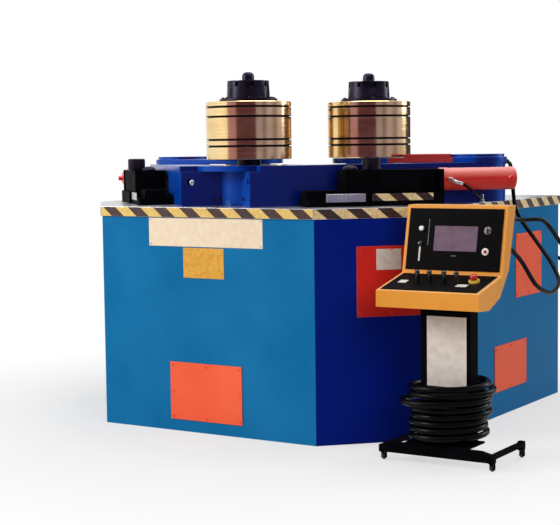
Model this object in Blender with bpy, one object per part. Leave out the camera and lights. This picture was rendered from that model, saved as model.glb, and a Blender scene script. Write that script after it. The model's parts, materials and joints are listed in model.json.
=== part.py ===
"""Three-roll hydraulic profile bending machine with its control console.

Metres, +Z up.  The origin lies on the floor at the centre of the cabinet's
footprint.  The operator's side is -Y, and the console stands at its right.
"""
import math

import bmesh
import bpy
from mathutils import Matrix, Vector

# Running and seating clearances
SEAT = 0.0003            # gap between pieces that rest on or sit in each other
RUN = 0.0005             # radial gap of a shaft or pin in its bearing
SIDES = (("right", 1), ("left", -1))

# Cabinet
FRONT_HALF = 0.621       # half the width of the front face
CORNER_CUT = 0.434       # size of the 45 degree front corner, along X and Y
LEFT_CUT_DEPTH = 0.540   # the left corner runs back a little further
CABINET_DEPTH = 1.904
DECK_TOP = 1.100
DECK_PLATE = 0.048
DECK_LIP = 0.009         # how far the deck stands proud of the walls
WALL = 0.012
FLOOR_PLATE = 0.020

# Cover plates: across the face, then from the floor
COVER = 0.004
COVER_LAP = 0.030        # overlap of a cover on the wall round its window
FRONT_COVER = ((-0.210, 0.2125), (0.058, 0.342))
CORNER_COVER = ((0.201, 0.535), (0.594, 0.923))
SIDE_COVER_LOW = ((0.603, 1.012), (0.126, 0.363))
SIDE_COVER_HIGH = ((0.870, 1.216), (0.588, 0.921))

# Forming rolls, and the places of their axes
ROLL_R = 0.215
ROLL_BOTTOM = 1.326
LOWER_RING = 0.064
THIN_RING = 0.027
MAIN_RING = 0.109
UPPER_RING = 0.043
TOP_RING = 0.024
GROOVE = 0.005           # height of the gap between two rings
GROOVE_DEPTH = 0.012
CENTRE_Y = -0.542
SIDE_X = 0.380
SIDE_Y = 0.018
SHAFT_R = 0.060
SHAFT_FOOT = 0.960
ROLL_SEGMENTS = 28
FLANGE_R = 0.146
FLANGE = 0.015
NUT_R = 0.109
NUT_TOP_R = 0.104
NUT_H = 0.090
NUT_TEETH = 8
NUT_SLOT = 0.018
NUT_SLOT_DEPTH = 0.030
STUD_R = 0.030
STUD_H = 0.043

# Middle bracket: a bearing boss and two beams at 45 degrees
BOSS_R = 0.170
BRACKET_FLANGE_R = 0.270
BRACKET_FLANGE = 0.027
BEAM_TOP = 1.268
BEAM_CAP = 0.029
WELD_STEP = 0.002        # the cap plate stands in from the beam's walls
BEAM_WALL = 0.025
BEAM_OUTER = 0.0693      # offset of the outer wall from the 45 degree line
BEAM_WIDTH = 0.223
BEAM_START = 0.218
BEAM_END = 1.380
CAP_START = 0.270
LIFT_HOLE_R = 0.0175
LIFT_HOLE_DROP = 0.050   # lifting hole below the beam's top
LIFT_HOLE_IN = 0.047     # lifting hole in from the beam's outer wall

# Swing arms
PIVOT_X = 0.920
PIVOT_Y = 0.158
PIVOT_R = 0.150
PIN_R = 0.045
ARM_PLATE = 0.026
ARM_END_R = 0.160
ARM_CAP_R = 0.145
ARM_CAP = 0.015          # height of the cap over the pivot pin
ARM_HOUSING_R = 0.125
ARM_HOUSING_FOOT = 1.125
ARM_TUBE_R = 0.085
ARM_TUBE_FOOT = 0.985
ARM_SWING = math.radians(14.0)
SLOT_GAP = 0.015

# Roll drives: reducer and hydraulic motor
DRIVE_FLANGE_R = 0.150
DRIVE_FLANGE = 0.022
REDUCER_R = 0.110
REDUCER_H = 0.200
MOTOR_R = 0.070
MOTOR_H = 0.150

# Swing cylinders under the deck
LUG_OFFSET = 0.210       # rod pin behind the roll axis
LUG = 0.030
LUG_R = 0.040
ROD_PIN_R = 0.016
ROD_EYE_GAP = 0.0065     # the rod eye is the open pivot of the linkage
ROD_EYE_R = 0.042
ROD_R = 0.022
BARREL_R = 0.048
BARREL_BORE_R = 0.038
BARREL_L = 0.400
BARREL_WALL = 0.030
PISTON = 0.040
CHEEK = 0.015
SWING_Z = 0.955
TRUNNION_IN = 0.132      # pin of the swing cylinder in front of the cabinet's rear
TRUNNION_R = 0.020

# Guide assemblies beside the beams, measured along and across them
RAIL_FROM = 0.460
RAIL_TO = 1.135
RAIL_GAP = 0.010         # rail off the beam wall
RAIL_WIDTH = 0.170
RAIL_BASE = 0.036
TONGUE_WIDTH = 0.110
TONGUE = 0.040
SLIDE_FROM = 0.647
SLIDE_TO = 1.090
SLIDE_H = 0.095
SLIDE_WIDTH = 0.160
SLIDE_TRAVEL = 0.180
KEEPER_FROM = 0.770
GUIDE_ROLL_AT = 0.780
GUIDE_ROLL_ACROSS = 0.219
GUIDE_ROLL_R = 0.045
GUIDE_ROLL_H = 0.062
GUIDE_ROLL_EDGE = 0.006
GUIDE_PIN_R = 0.014
HEAD_PLATE = 0.022
GUIDE_ROD_LEFT = 0.120   # length of rod still in the cylinder at full travel
GUIDE_ROD_DROP = 0.004   # rod below the middle of the slide
KEEPER = 0.012
KEEPER_TOP = 1.160
CYL_R = 0.056
CYL_L = 0.385
CYL_BORE_R = 0.036
GUIDE_ROD_R = 0.016
PORT_R = 0.013
PORT_H = 0.018
PORT_IN = 0.035

# Console trolley
TROLLEY_X = 1.283
TROLLEY_Y = -0.885
TROLLEY_W = 0.520
TROLLEY_D = 0.320
BAR = 0.030
BAR_H = 0.046
FRAME_Z = 0.038          # underside of the front bar
LEG_Z = 0.053            # underside of the flat legs
LEG_H = 0.016
LEG_END_H = 0.037        # height of the block over a rear castor
BAR_TAPER = 0.065        # length over which the front bar's ends slope down
BASE_PLATE = 0.006
BASE_PLATE_W = 0.300
COLUMN_W = 0.240
COLUMN_D = 0.078
COLUMN_Y = -0.913        # centre of the column
COLUMN_WALL = 0.003
COLUMN_TOP = 0.790       # before its top is cut to the console's belly

# Castors
WHEEL_R = 0.015
WHEEL_W = 0.014
AXLE_R = 0.004
TRAIL = 0.008
FORK_CHEEK = 0.003
STEM_R = 0.006

# Console housing, side profile as distance in front of its back, and height
CONSOLE_W = 0.485
CONSOLE_X = 1.280
CONSOLE_BACK = -0.737
SHEET = 0.003
PROFILE_TOP = 1.120
PANEL_TOP_IN = 0.080     # top of the sloping face in front of the back
PANEL_FOOT_IN = 0.145
PANEL_FOOT_Z = 0.819
TRAY_FRONT_IN = 0.393
TRAY_FRONT_Z = 0.762
TRAY_UNDER_Z = 0.690
BELLY_IN = 0.287
BELLY_Z = 0.684
KNEE_LOW_IN = 0.173
KNEE_LOW_Z = 0.728
KNEE_IN = 0.077
KNEE_Z = 0.841
PANEL_MARGIN = 0.016
PANEL = 0.004
PLATE_LAP = 0.012        # overlap of the panel and the lever plate on the sheet
SCREEN_W = 0.209
SCREEN_H = 0.113
SCREEN_AT = (0.006, 0.004)
SCREEN = 0.003
LEVER_PLATE = 0.004
LEVER_MARGIN = 0.017

# Controls on the console, from the middle of the face they sit on
BUTTON_R = 0.011
BUTTON_STEM_R = 0.006
BUTTON_TRAVEL = 0.003
BUTTON_H = 0.009
START_AT = (-0.160, 0.046)
STOP_AT = (0.154, -0.051)
SELECTOR_AT = (0.157, 0.041)
SELECTOR_R = 0.013
SELECTOR_H = 0.016
LEVER_XS = (-0.094, -0.036, 0.033, 0.092)
LEVER_ACROSS = -0.010
LEVER_SWING = math.radians(15.0)
LEVER_STEM_R = 0.004
LEVER_H = 0.070
LEVER_KNOB_R = 0.009
LEVER_BALL_R = 0.011
LEVER_BALL_DROP = 0.012
STOP_HEAD_X = 0.158
STOP_HEAD_ACROSS = 0.020
STOP_HEAD_R = 0.017
STOP_HEAD_H = 0.020
STOP_STEM_R = 0.009
STOP_TRAVEL = 0.005
COLLAR_R = 0.024
COLLAR_H = 0.010
STEM_DEPTH = 0.015       # stem below the face it passes through

# Hydraulic power unit in the cabinet
TANK = (0.620, 0.420, 0.340)
TANK_Y = 0.100
TANK_FOOT = 0.040
TANK_SHEET = 0.005
FILLER_R = 0.030
PUMP_MOTOR_R = 0.085
PUMP_MOTOR_L = 0.300

# Cables and hose
GLAND_R = 0.019
GLAND_H = 0.030
HOSE_GLAND_R = 0.014
HOSE_GLAND_H = 0.006
HOSE_GLAND = (1.040, -0.030)
LOOP_GLAND = (0.930, 0.400)
CABLE_R = 0.010
COIL_CABLE_R = 0.014
COIL_R = 0.171
COIL_LOOPS = 8
COIL_PITCH = 0.0305
COIL_STEPS = 24
COIL_LEAD = 0.80         # radians over which the cable bends from gland to loop
COIL_LEAD_STEPS = 6
COIL_STRAIGHT = 0.030
COIL_UNEVEN = 0.008      # loops differ this much in radius
COIL_UNEVEN_RATE = 5.4
COIL_LOOSE = 0.030       # one loop hangs out this much further
COIL_LOOSE_AT = 0.66     # its place, as a share of the coil's height
COIL_LOOSE_SPREAD = 0.08
HOSE_R = 0.007
CONSOLE_GLANDS = ((1.475, 0.945), (1.490, 1.056))    # X and height on the console's back
REAR_GLAND = (0.960, 0.780)                          # X and height on the cabinet's rear
LOOP_ROUTE = ((0.935, 0.398, 1.200), (0.965, 0.384, 1.270), (1.010, 0.345, 1.300),
              (1.050, 0.304, 1.276), (1.071, 0.282, 1.174), (1.087, 0.268, 1.082),
              (1.121, 0.254, 1.010), (1.190, 0.222, 0.940), (1.260, 0.177, 0.876),
              (1.340, 0.110, 0.812), (1.407, 0.033, 0.756), (1.454, -0.055, 0.722),
              (1.485, -0.178, 0.696), (1.495, -0.290, 0.693), (1.494, -0.445, 0.745),
              (1.480, -0.575, 0.860))
LINK_ROUTE = ((1.499, -0.655, 1.052), (1.521, -0.590, 1.048), (1.552, -0.503, 1.044),
              (1.562, -0.403, 0.985), (1.566, -0.291, 0.914), (1.600, -0.120, 0.820),
              (1.625, 0.120, 0.720), (1.610, 0.380, 0.650), (1.500, 0.720, 0.620),
              (1.300, 1.000, 0.630), (1.100, 1.110, 0.690), (0.975, 1.060, 0.765))
HOSE_ROUTE = ((1.012, -0.312, 1.214), (1.040, -0.292, 1.204), (1.055, -0.273, 1.197),
              (1.073, -0.225, 1.168), (1.077, -0.170, 1.142), (1.070, -0.110, 1.130),
              (1.052, -0.058, 1.134))


# Modelling helpers

def clear_scene():
    for old in list(bpy.data.objects):
        bpy.data.objects.remove(old, do_unlink=True)


def paint(name, look):
    colour, roughness, metallic = look
    material = bpy.data.materials.new(name)
    material.use_nodes = True
    shader = material.node_tree.nodes["Principled BSDF"]
    shader.inputs["Base Color"].default_value = (*colour, 1.0)
    shader.inputs["Roughness"].default_value = roughness
    shader.inputs["Metallic"].default_value = metallic
    return material


def finish(name, bm, look):
    """Turn a bmesh into a named object with its own material."""
    bmesh.ops.remove_doubles(bm, verts=bm.verts, dist=1e-6)
    bmesh.ops.recalc_face_normals(bm, faces=bm.faces)
    mesh = bpy.data.meshes.new(name)
    bm.to_mesh(mesh)
    bm.free()
    piece = bpy.data.objects.new(name, mesh)
    bpy.context.collection.objects.link(piece)
    if look:
        mesh.materials.append(paint(name, look))
    return piece


def prism(name, outline, low, high, look=None):
    """A flat outline in X and Y raised from one height to another."""
    bm = bmesh.new()
    face = bm.faces.new([bm.verts.new((x, y, low)) for x, y in outline])
    raised = bmesh.ops.extrude_face_region(bm, geom=[face])
    tops = [v for v in raised["geom"] if isinstance(v, bmesh.types.BMVert)]
    bmesh.ops.translate(bm, verts=tops, vec=(0, 0, high - low))
    return finish(name, bm, look)


def box(name, low, high, look=None):
    outline = [(low[0], low[1]), (high[0], low[1]), (high[0], high[1]), (low[0], high[1])]
    return prism(name, outline, low[2], high[2], look)


def centred_box(name, centre, size, look=None):
    low = [c - s / 2 for c, s in zip(centre, size)]
    high = [c + s / 2 for c, s in zip(centre, size)]
    return box(name, low, high, look)


def turned(name, profile, segments, look=None):
    """Spin (radius, height) points round Z.  A profile off the axis makes a ring."""
    bm = bmesh.new()
    verts = [bm.verts.new((r, 0.0, z)) for r, z in profile]
    edges = [bm.edges.new(pair) for pair in zip(verts, verts[1:])]
    if all(r > 0 for r, _ in profile):
        edges.append(bm.edges.new((verts[-1], verts[0])))
    bmesh.ops.spin(bm, geom=verts + edges, axis=(0, 0, 1), cent=(0, 0, 0),
                   angle=math.tau, steps=segments, use_merge=True)
    return round_off(finish(name, bm, look))


def round_off(piece):
    """Shade the round sides smooth and keep the edges sharp."""
    piece.data.shade_smooth()
    piece.data.set_sharp_from_angle(angle=math.radians(35))
    return piece


def rod(name, radius, low, high, segments=16, look=None):
    circle = [(radius * math.cos(math.tau * i / segments), radius * math.sin(math.tau * i / segments))
              for i in range(segments)]
    return round_off(prism(name, circle, low, high, look))


def bore(name, radius, gap, low, high, segments=16):
    """Cutter for a hole that clears a round piece at every angle of its facets."""
    return rod(name, (radius + gap) / math.cos(math.pi / segments), low, high, segments)


def move(piece, matrix):
    piece.data.transform(matrix)
    if matrix.determinant() < 0:
        piece.data.flip_normals()
    return piece


def shift(piece, x=0.0, y=0.0, z=0.0):
    return move(piece, Matrix.Translation((x, y, z)))


def aim(piece, point, direction):
    """Stand a piece that was made along Z on a point, along a direction."""
    turn = Vector(direction).to_track_quat("Z", "Y").to_matrix().to_4x4()
    return move(piece, Matrix.Translation(point) @ turn)


def mirror_side(piece, side):
    """Pieces are made for the right side; the left one is their mirror image."""
    if side < 0:
        move(piece, Matrix.Scale(-1, 4, (1, 0, 0)))
    return piece


def combine(piece, tools, operation):
    """Cut with or join to the tools, and leave the finished mesh on the piece."""
    for tool in tools:
        modifier = piece.modifiers.new(operation.lower(), "BOOLEAN")
        modifier.operation = operation
        modifier.solver = "EXACT"
        modifier.object = tool
        bpy.context.view_layer.update()
        graph = bpy.context.evaluated_depsgraph_get()
        result = bpy.data.meshes.new_from_object(piece.evaluated_get(graph))
        piece.modifiers.clear()
        old = piece.data
        result.name = old.name
        piece.data = result
        bpy.data.meshes.remove(old)
        bpy.data.objects.remove(tool, do_unlink=True)
    return piece


def cut(piece, *tools):
    return combine(piece, tools, "DIFFERENCE")


def join(piece, *tools):
    return combine(piece, tools, "UNION")


def pivot_at(piece, point):
    """Put the piece's origin on its joint's axis."""
    piece.data.transform(Matrix.Translation(-Vector(point)))
    piece.location = point
    return piece


def arc(centre, radius, start, end, steps):
    """Points on an arc, in degrees."""
    points = []
    for i in range(steps + 1):
        a = math.radians(start + (end - start) * i / steps)
        points.append((centre[0] + radius * math.cos(a), centre[1] + radius * math.sin(a)))
    return points


def capsule(start, end, start_r, end_r, steps=8):
    """Outline round two circles of different size and the tangents between them."""
    run = Vector(end) - Vector(start)
    heading = math.degrees(math.atan2(run.y, run.x))
    lean = math.degrees(math.asin((start_r - end_r) / run.length))
    ahead = arc(end, end_r, heading - 90 + lean, heading + 90 - lean, steps)
    behind = arc(start, start_r, heading + 90 - lean, heading + 270 + lean, steps)
    return ahead + behind


def inset(outline, distance):
    """Move every side of a convex outline inwards by a distance."""
    count = len(outline)
    sides = []
    for i in range(count):
        a = Vector(outline[i])
        b = Vector(outline[(i + 1) % count])
        along = (b - a).normalized()
        inward = Vector((-along.y, along.x))
        sides.append((a + inward * distance, along))
    result = []
    for i in range(count):
        (p, u), (q, v) = sides[i - 1], sides[i]
        reach = (q - p).cross(v) / u.cross(v)
        result.append(tuple(p + u * reach))
    return result


# Outline of the cabinet, and the frame of the 45 degree assemblies

FRONT_Y = -CABINET_DEPTH / 2
REAR_Y = CABINET_DEPTH / 2
HALF_WIDTH = FRONT_HALF + CORNER_CUT
TRUNNION_Y = REAR_Y - TRUNNION_IN
HOUSE = [(-FRONT_HALF, FRONT_Y), (FRONT_HALF, FRONT_Y),
         (HALF_WIDTH, FRONT_Y + CORNER_CUT), (HALF_WIDTH, REAR_Y),
         (-HALF_WIDTH, REAR_Y), (-HALF_WIDTH, FRONT_Y + LEFT_CUT_DEPTH)]
CABINET_TOP = DECK_TOP - DECK_PLATE - SEAT
DECK = DECK_TOP + SEAT
CAP_TOP = BEAM_TOP + BEAM_CAP
BEAM_INNER = BEAM_OUTER - BEAM_WIDTH

# Along the right beam is local X, towards the machine's middle is local Y
DIAGONAL = Matrix.Translation((0, FRONT_Y, 0)) @ Matrix.Rotation(math.radians(45), 4, "Z")


def diagonal_point(along, across, height):
    """World point on the right; across is measured outwards from the 45 degree line."""
    return DIAGONAL @ Vector((along, -across, height))


def flat_box(name, along, across, heights, look=None):
    """Box in the 45 degree frame, before it is laid in place."""
    return box(name, (along[0], -across[1], heights[0]), (along[1], -across[0], heights[1]), look)


def diagonal_box(name, along, across, heights):
    return move(flat_box(name, along, across, heights), DIAGONAL)


def lay(piece, side):
    """Lay a piece made in the 45 degree frame in place on one side."""
    return mirror_side(move(piece, DIAGONAL), side)


# Looks: linear colour, roughness, metallic

BLUE = ((0.005, 0.055, 0.250), 0.35, 0.0)
RED = ((0.560, 0.040, 0.020), 0.40, 0.0)
ORANGE = ((0.850, 0.110, 0.040), 0.45, 0.0)
STEEL = ((0.550, 0.560, 0.570), 0.30, 1.0)
BRASS = ((0.620, 0.440, 0.180), 0.25, 1.0)
BLACK = ((0.010, 0.010, 0.012), 0.45, 0.0)
BLACKED = ((0.020, 0.020, 0.025), 0.35, 0.8)
YELLOW = ((0.680, 0.290, 0.060), 0.45, 0.0)
GREY = ((0.180, 0.190, 0.200), 0.50, 0.0)
WHITE = ((0.750, 0.750, 0.740), 0.40, 0.0)
SCREEN_GLASS = ((0.160, 0.100, 0.140), 0.15, 0.0)
RUBBER = ((0.012, 0.012, 0.013), 0.60, 0.0)


# Cabinet

def face_frame(start, end):
    """Matrix whose X runs along a wall, Y into the cabinet and Z up."""
    along = (Vector(end) - Vector(start)).normalized()
    inward = Vector((-along.y, along.x))
    rows = Matrix(((along.x, inward.x, 0, start[0]), (along.y, inward.y, 0, start[1]),
                   (0, 0, 1, 0), (0, 0, 0, 1)))
    return rows


FRONT_MID = face_frame((0, FRONT_Y), (1, FRONT_Y))
RIGHT_CORNER = face_frame(HOUSE[1], HOUSE[2])
RIGHT_SIDE = face_frame(HOUSE[2], HOUSE[3])
COVERS = (
    ("front_cover", FRONT_MID, FRONT_COVER, ORANGE),
    ("corner_cover", RIGHT_CORNER, CORNER_COVER, RED),
    ("side_cover_low", RIGHT_SIDE, SIDE_COVER_LOW, ORANGE),
    ("side_cover_high", RIGHT_SIDE, SIDE_COVER_HIGH, ORANGE),
)


def build_cabinet():
    shell = prism("body_shell", HOUSE, 0.0, CABINET_TOP, BLUE)
    cut(shell, prism("hollow", inset(HOUSE, WALL), FLOOR_PLATE, CABINET_TOP + WALL))
    for name, frame, (across, up), look in COVERS:
        cover = box(name, (across[0], -SEAT - COVER, up[0]), (across[1], -SEAT, up[1]), look)
        move(cover, frame)
        window = box("window", (across[0] + COVER_LAP, -WALL, up[0] + COVER_LAP),
                     (across[1] - COVER_LAP, 2 * WALL, up[1] - COVER_LAP))
        cut(shell, move(window, frame))
    for _, side in SIDES:
        join(shell, *trunnion_bracket(side))
    gland = rod("gland", GLAND_R, -WALL / 2, GLAND_H, 12)
    join(shell, aim(gland, (REAR_GLAND[0], REAR_Y, REAR_GLAND[1]), (0, 1, 0)))


def arc_slot(side):
    """Room in the deck for the tube of a swing arm, along the arm's arc."""
    reach = math.hypot(PIVOT_X - SIDE_X, PIVOT_Y - SIDE_Y)
    rest = 180 + math.degrees(math.atan2(PIVOT_Y - SIDE_Y, PIVOT_X - SIDE_X))
    end = rest + math.degrees(ARM_SWING)
    half = ARM_TUBE_R + SLOT_GAP
    pivot = (PIVOT_X, PIVOT_Y)
    near = arc(pivot, reach, rest, rest, 1)[0]
    far = arc(pivot, reach, end, end, 1)[0]
    outline = arc(pivot, reach + half, rest, end, 4)
    outline += arc(far, half, end, end + 180, 8)[1:-1]
    outline += arc(pivot, reach - half, end, rest, 4)
    outline += arc(near, half, rest + 180, rest + 360, 8)[1:-1]
    slot = prism("slot", outline, CABINET_TOP - WALL, DECK_TOP + WALL)
    return mirror_side(slot, side)


def build_deck():
    deck = prism("deck_plate", inset(HOUSE, -DECK_LIP), DECK_TOP - DECK_PLATE, DECK_TOP, STEEL)
    for (x, y), radius, height in ((HOSE_GLAND, HOSE_GLAND_R, HOSE_GLAND_H), (LOOP_GLAND, GLAND_R, GLAND_H)):
        join(deck, shift(rod("gland", radius, DECK_TOP - WALL, DECK_TOP + height, 12), x, y))
    hole = rod("hole", SHAFT_R + SLOT_GAP, CABINET_TOP - WALL, DECK_TOP + WALL, 24)
    cut(deck, shift(hole, 0, CENTRE_Y), *(arc_slot(side) for _, side in SIDES))


# Middle bracket

def build_bracket():
    boss = rod("centre_bracket", BOSS_R, DECK, CAP_TOP, 32, BLUE)
    shift(boss, 0, CENTRE_Y)
    flange = rod("flange", BRACKET_FLANGE_R, CAP_TOP - BRACKET_FLANGE, CAP_TOP, 40)
    parts = [shift(flange, 0, CENTRE_Y)]
    cuts = []
    across = (BEAM_INNER, BEAM_OUTER)
    hollow_across = (BEAM_INNER + BEAM_WALL, BEAM_OUTER - BEAM_WALL)
    hollow_along = (BEAM_START + BEAM_WALL, BEAM_END - PIVOT_R)
    for _, side in SIDES:
        beam = diagonal_box("beam", (BEAM_START, BEAM_END), across, (DECK, BEAM_TOP))
        cap = diagonal_box("cap", (CAP_START, BEAM_END - WELD_STEP),
                           (BEAM_INNER + WELD_STEP, BEAM_OUTER - WELD_STEP), (BEAM_TOP - WALL, CAP_TOP))
        knuckle = shift(rod("knuckle", PIVOT_R, DECK, CAP_TOP, 32), PIVOT_X, PIVOT_Y)
        pocket = diagonal_box("pocket", hollow_along, hollow_across, (0, BEAM_TOP - BEAM_WALL))
        pin = bore("pin_bore", PIN_R, RUN, 0, CAP_TOP + WALL, 24)
        lift = rod("lifting_hole", LIFT_HOLE_R, -BEAM_WALL, BEAM_WALL * 2, 16)
        aim(lift, diagonal_point(BEAM_START, BEAM_OUTER - LIFT_HOLE_IN, BEAM_TOP - LIFT_HOLE_DROP),
            DIAGONAL.to_3x3() @ Vector((1, 0, 0)))
        parts += [mirror_side(p, side) for p in (beam, cap, knuckle)]
        cuts += [mirror_side(p, side) for p in (pocket, shift(pin, PIVOT_X, PIVOT_Y), lift)]
    join(boss, *parts)
    cut(boss, *cuts)
    cut(boss, shift(bore("bearing", SHAFT_R, RUN, 0, CAP_TOP + WALL, 24), 0, CENTRE_Y))


# Rolls

def ring_profile():
    """Outline of the ring stack from the bottom up, with its four grooves."""
    deep = ROLL_R - GROOVE_DEPTH
    level = ROLL_BOTTOM
    outline = [(ROLL_R, level)]
    for ring in (LOWER_RING, THIN_RING, MAIN_RING, UPPER_RING):
        level += ring
        outline += [(ROLL_R, level), (deep, level), (deep, level + GROOVE), (ROLL_R, level + GROOVE)]
        level += GROOVE
    level += TOP_RING
    return outline + [(ROLL_R, level)], level


def build_roll(name, x, y):
    """One roll: its shaft, its stack of rings and the slotted nut on top."""
    outline, top = ring_profile()
    inner = (SHAFT_R + SEAT) / math.cos(math.pi / ROLL_SEGMENTS)
    outline += [(inner, top), (inner, ROLL_BOTTOM)]
    stack = turned("roll_rings_" + name, outline, ROLL_SEGMENTS, BRASS)
    nut_top = top + SEAT + FLANGE + NUT_H
    nut = turned("roll_nut_" + name,
                 [(FLANGE_R, top + SEAT), (FLANGE_R, top + SEAT + FLANGE), (NUT_R, top + SEAT + FLANGE),
                  (NUT_TOP_R, nut_top), (inner, nut_top), (inner, top + SEAT)], 32, BLACKED)
    for i in range(NUT_TEETH // 2):
        slot = centred_box("tooth_slot", (0, 0, nut_top), (3 * NUT_R, NUT_SLOT, 2 * NUT_SLOT_DEPTH))
        cut(nut, move(slot, Matrix.Rotation(math.tau * i / NUT_TEETH, 4, "Z")))
    shaft = turned("roll_shaft_" + name,
                   [(0, SHAFT_FOOT), (SHAFT_R, SHAFT_FOOT), (SHAFT_R, nut_top),
                    (STUD_R, nut_top + STUD_H * 0.1), (STUD_R, nut_top + STUD_H * 0.5),
                    (STUD_R * 0.8, nut_top + STUD_H * 0.8), (STUD_R * 0.4, nut_top + STUD_H),
                    (0, nut_top + STUD_H)], 24, BLACKED)
    for piece in (stack, nut, shaft):
        shift(piece, x, y)
        pivot_at(piece, (x, y, 0))


def build_drive(name, x, y, top):
    """Reducer and hydraulic motor that turn a roll from below."""
    foot = top - DRIVE_FLANGE - REDUCER_H - MOTOR_H
    drive = turned(name, [(0, foot), (MOTOR_R, foot), (MOTOR_R, foot + MOTOR_H),
                          (REDUCER_R, foot + MOTOR_H + 0.02), (REDUCER_R, top - DRIVE_FLANGE),
                          (DRIVE_FLANGE_R, top - DRIVE_FLANGE), (DRIVE_FLANGE_R, top), (0, top)],
                   24, GREY)
    cut(drive, bore("socket", SHAFT_R, RUN, SHAFT_FOOT - 2 * SEAT, top + WALL, 24))
    return shift(drive, x, y)


# Swing arms and their cylinders

def build_arm(name, side):
    plate_low = CAP_TOP + SEAT
    plate_top = plate_low + ARM_PLATE
    outline = capsule((SIDE_X, SIDE_Y), (PIVOT_X, PIVOT_Y), ROLL_R * 0.9, ARM_END_R)
    arm = prism("swing_arm_" + name, outline, plate_low, plate_top, BLUE)
    housing = rod("housing", ARM_HOUSING_R, ARM_HOUSING_FOOT, plate_low + ARM_PLATE / 2, 28)
    tube = rod("tube", ARM_TUBE_R, ARM_TUBE_FOOT, ARM_HOUSING_FOOT + WALL, 24)
    pin = rod("pin", PIN_R, DECK + SEAT, plate_low + ARM_PLATE / 2, 24)
    lug = prism("lug", capsule((SIDE_X, SIDE_Y), (SIDE_X, SIDE_Y + LUG_OFFSET), ARM_TUBE_R * 0.9, LUG_R),
                ARM_TUBE_FOOT, ARM_TUBE_FOOT + LUG)
    rod_pin = rod("rod_pin", ROD_PIN_R, SWING_Z - LUG * 0.6, ARM_TUBE_FOOT + LUG / 2, 16)
    cap = rod("cap", ARM_CAP_R, plate_low + ARM_PLATE / 2, plate_top + ARM_CAP, 32)
    join(arm, shift(housing, SIDE_X, SIDE_Y), shift(tube, SIDE_X, SIDE_Y),
         shift(pin, PIVOT_X, PIVOT_Y), shift(cap, PIVOT_X, PIVOT_Y), lug,
         shift(rod_pin, SIDE_X, SIDE_Y + LUG_OFFSET))
    cut(arm, shift(bore("bearing", SHAFT_R, RUN, ARM_TUBE_FOOT - WALL, plate_top + WALL, 24),
                   SIDE_X, SIDE_Y))
    pivot_at(mirror_side(arm, side), (side * PIVOT_X, PIVOT_Y, 0))
    drive = build_drive("roll_drive_" + name, SIDE_X, SIDE_Y, ARM_TUBE_FOOT - SEAT)
    pivot_at(mirror_side(drive, side), (side * PIVOT_X, PIVOT_Y, 0))


def swing_stroke():
    """Travel of the arm's rod pin along Y over the whole swing."""
    pin = Vector((SIDE_X - PIVOT_X, SIDE_Y + LUG_OFFSET - PIVOT_Y))
    swung = Matrix.Rotation(ARM_SWING, 2) @ pin
    return pin.y - swung.y


def build_swing_cylinder(name, side):
    """Barrel held at the back of the cabinet, rod to the arm's pin."""
    pin_y = SIDE_Y + LUG_OFFSET
    barrel_back = TRUNNION_Y - TRUNNION_R
    barrel_front = barrel_back - BARREL_L
    barrel = rod("swing_barrel_" + name, BARREL_R, 0, BARREL_L, 20, BLACK)
    cut(barrel, rod("chamber", BARREL_BORE_R, BARREL_WALL, BARREL_L - BARREL_WALL / 2, 20),
        bore("gland", ROD_R, RUN, BARREL_WALL, BARREL_L + WALL, 16))
    aim(barrel, (SIDE_X, barrel_back, SWING_Z), (0, -1, 0))
    hub = rod("hub", BARREL_R * 0.9, SWING_Z - BARREL_R, SWING_Z + BARREL_R, 20)
    join(barrel, shift(hub, SIDE_X, TRUNNION_Y))
    hole = bore("hole", TRUNNION_R, SEAT, SWING_Z - 2 * BARREL_R, SWING_Z + 2 * BARREL_R)
    cut(barrel, shift(hole, SIDE_X, TRUNNION_Y))
    mirror_side(barrel, side)
    piston_at = barrel_front + BARREL_WALL + swing_stroke() - pin_y
    piston_rod = rod("swing_rod_" + name, ROD_R, 0, piston_at + PISTON / 2, 16, STEEL)
    piston = rod("piston", BARREL_BORE_R - RUN, piston_at, piston_at + PISTON, 20)
    aim(join(piston_rod, piston), (SIDE_X, pin_y, SWING_Z), (0, 1, 0))
    eye = rod("eye", ROD_EYE_R, SWING_Z - ROD_R, SWING_Z + ROD_R * 0.9, 20)
    join(piston_rod, shift(eye, SIDE_X, pin_y))
    hole = bore("eye_hole", ROD_PIN_R, ROD_EYE_GAP, SWING_Z - 2 * ROD_R, SWING_Z + 2 * ROD_R)
    cut(piston_rod, shift(hole, SIDE_X, pin_y))
    mirror_side(piston_rod, side)


def trunnion_bracket(side):
    """Two cheeks on the back wall with the pin of a swing cylinder between them."""
    inner_wall = REAR_Y - WALL
    pieces = []
    for level in (SWING_Z + BARREL_R + SEAT, SWING_Z - BARREL_R - SEAT - CHEEK):
        pieces.append(box("cheek", (SIDE_X - BARREL_R, TRUNNION_Y - BARREL_R, level),
                          (SIDE_X + BARREL_R, inner_wall + WALL / 2, level + CHEEK)))
    pin = rod("pin", TRUNNION_R, SWING_Z - BARREL_R - CHEEK / 2, SWING_Z + BARREL_R + CHEEK / 2, 16)
    pieces.append(shift(pin, SIDE_X, TRUNNION_Y))
    return [mirror_side(piece, side) for piece in pieces]


# Guide assemblies

RAIL_IN = BEAM_OUTER + RAIL_GAP
RAIL_MID = RAIL_IN + RAIL_WIDTH / 2
RAIL_OUT = RAIL_IN + RAIL_WIDTH
RAIL_TOP = DECK_TOP + RAIL_BASE
TONGUE_TOP = RAIL_TOP + TONGUE
SLIDE_TOP = TONGUE_TOP + SEAT + SLIDE_H
ROD_Z = TONGUE_TOP + SEAT + SLIDE_H / 2 - GUIDE_ROD_DROP
OUTWARD = (0, -1, 0)     # across the rail, in the 45 degree frame


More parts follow.
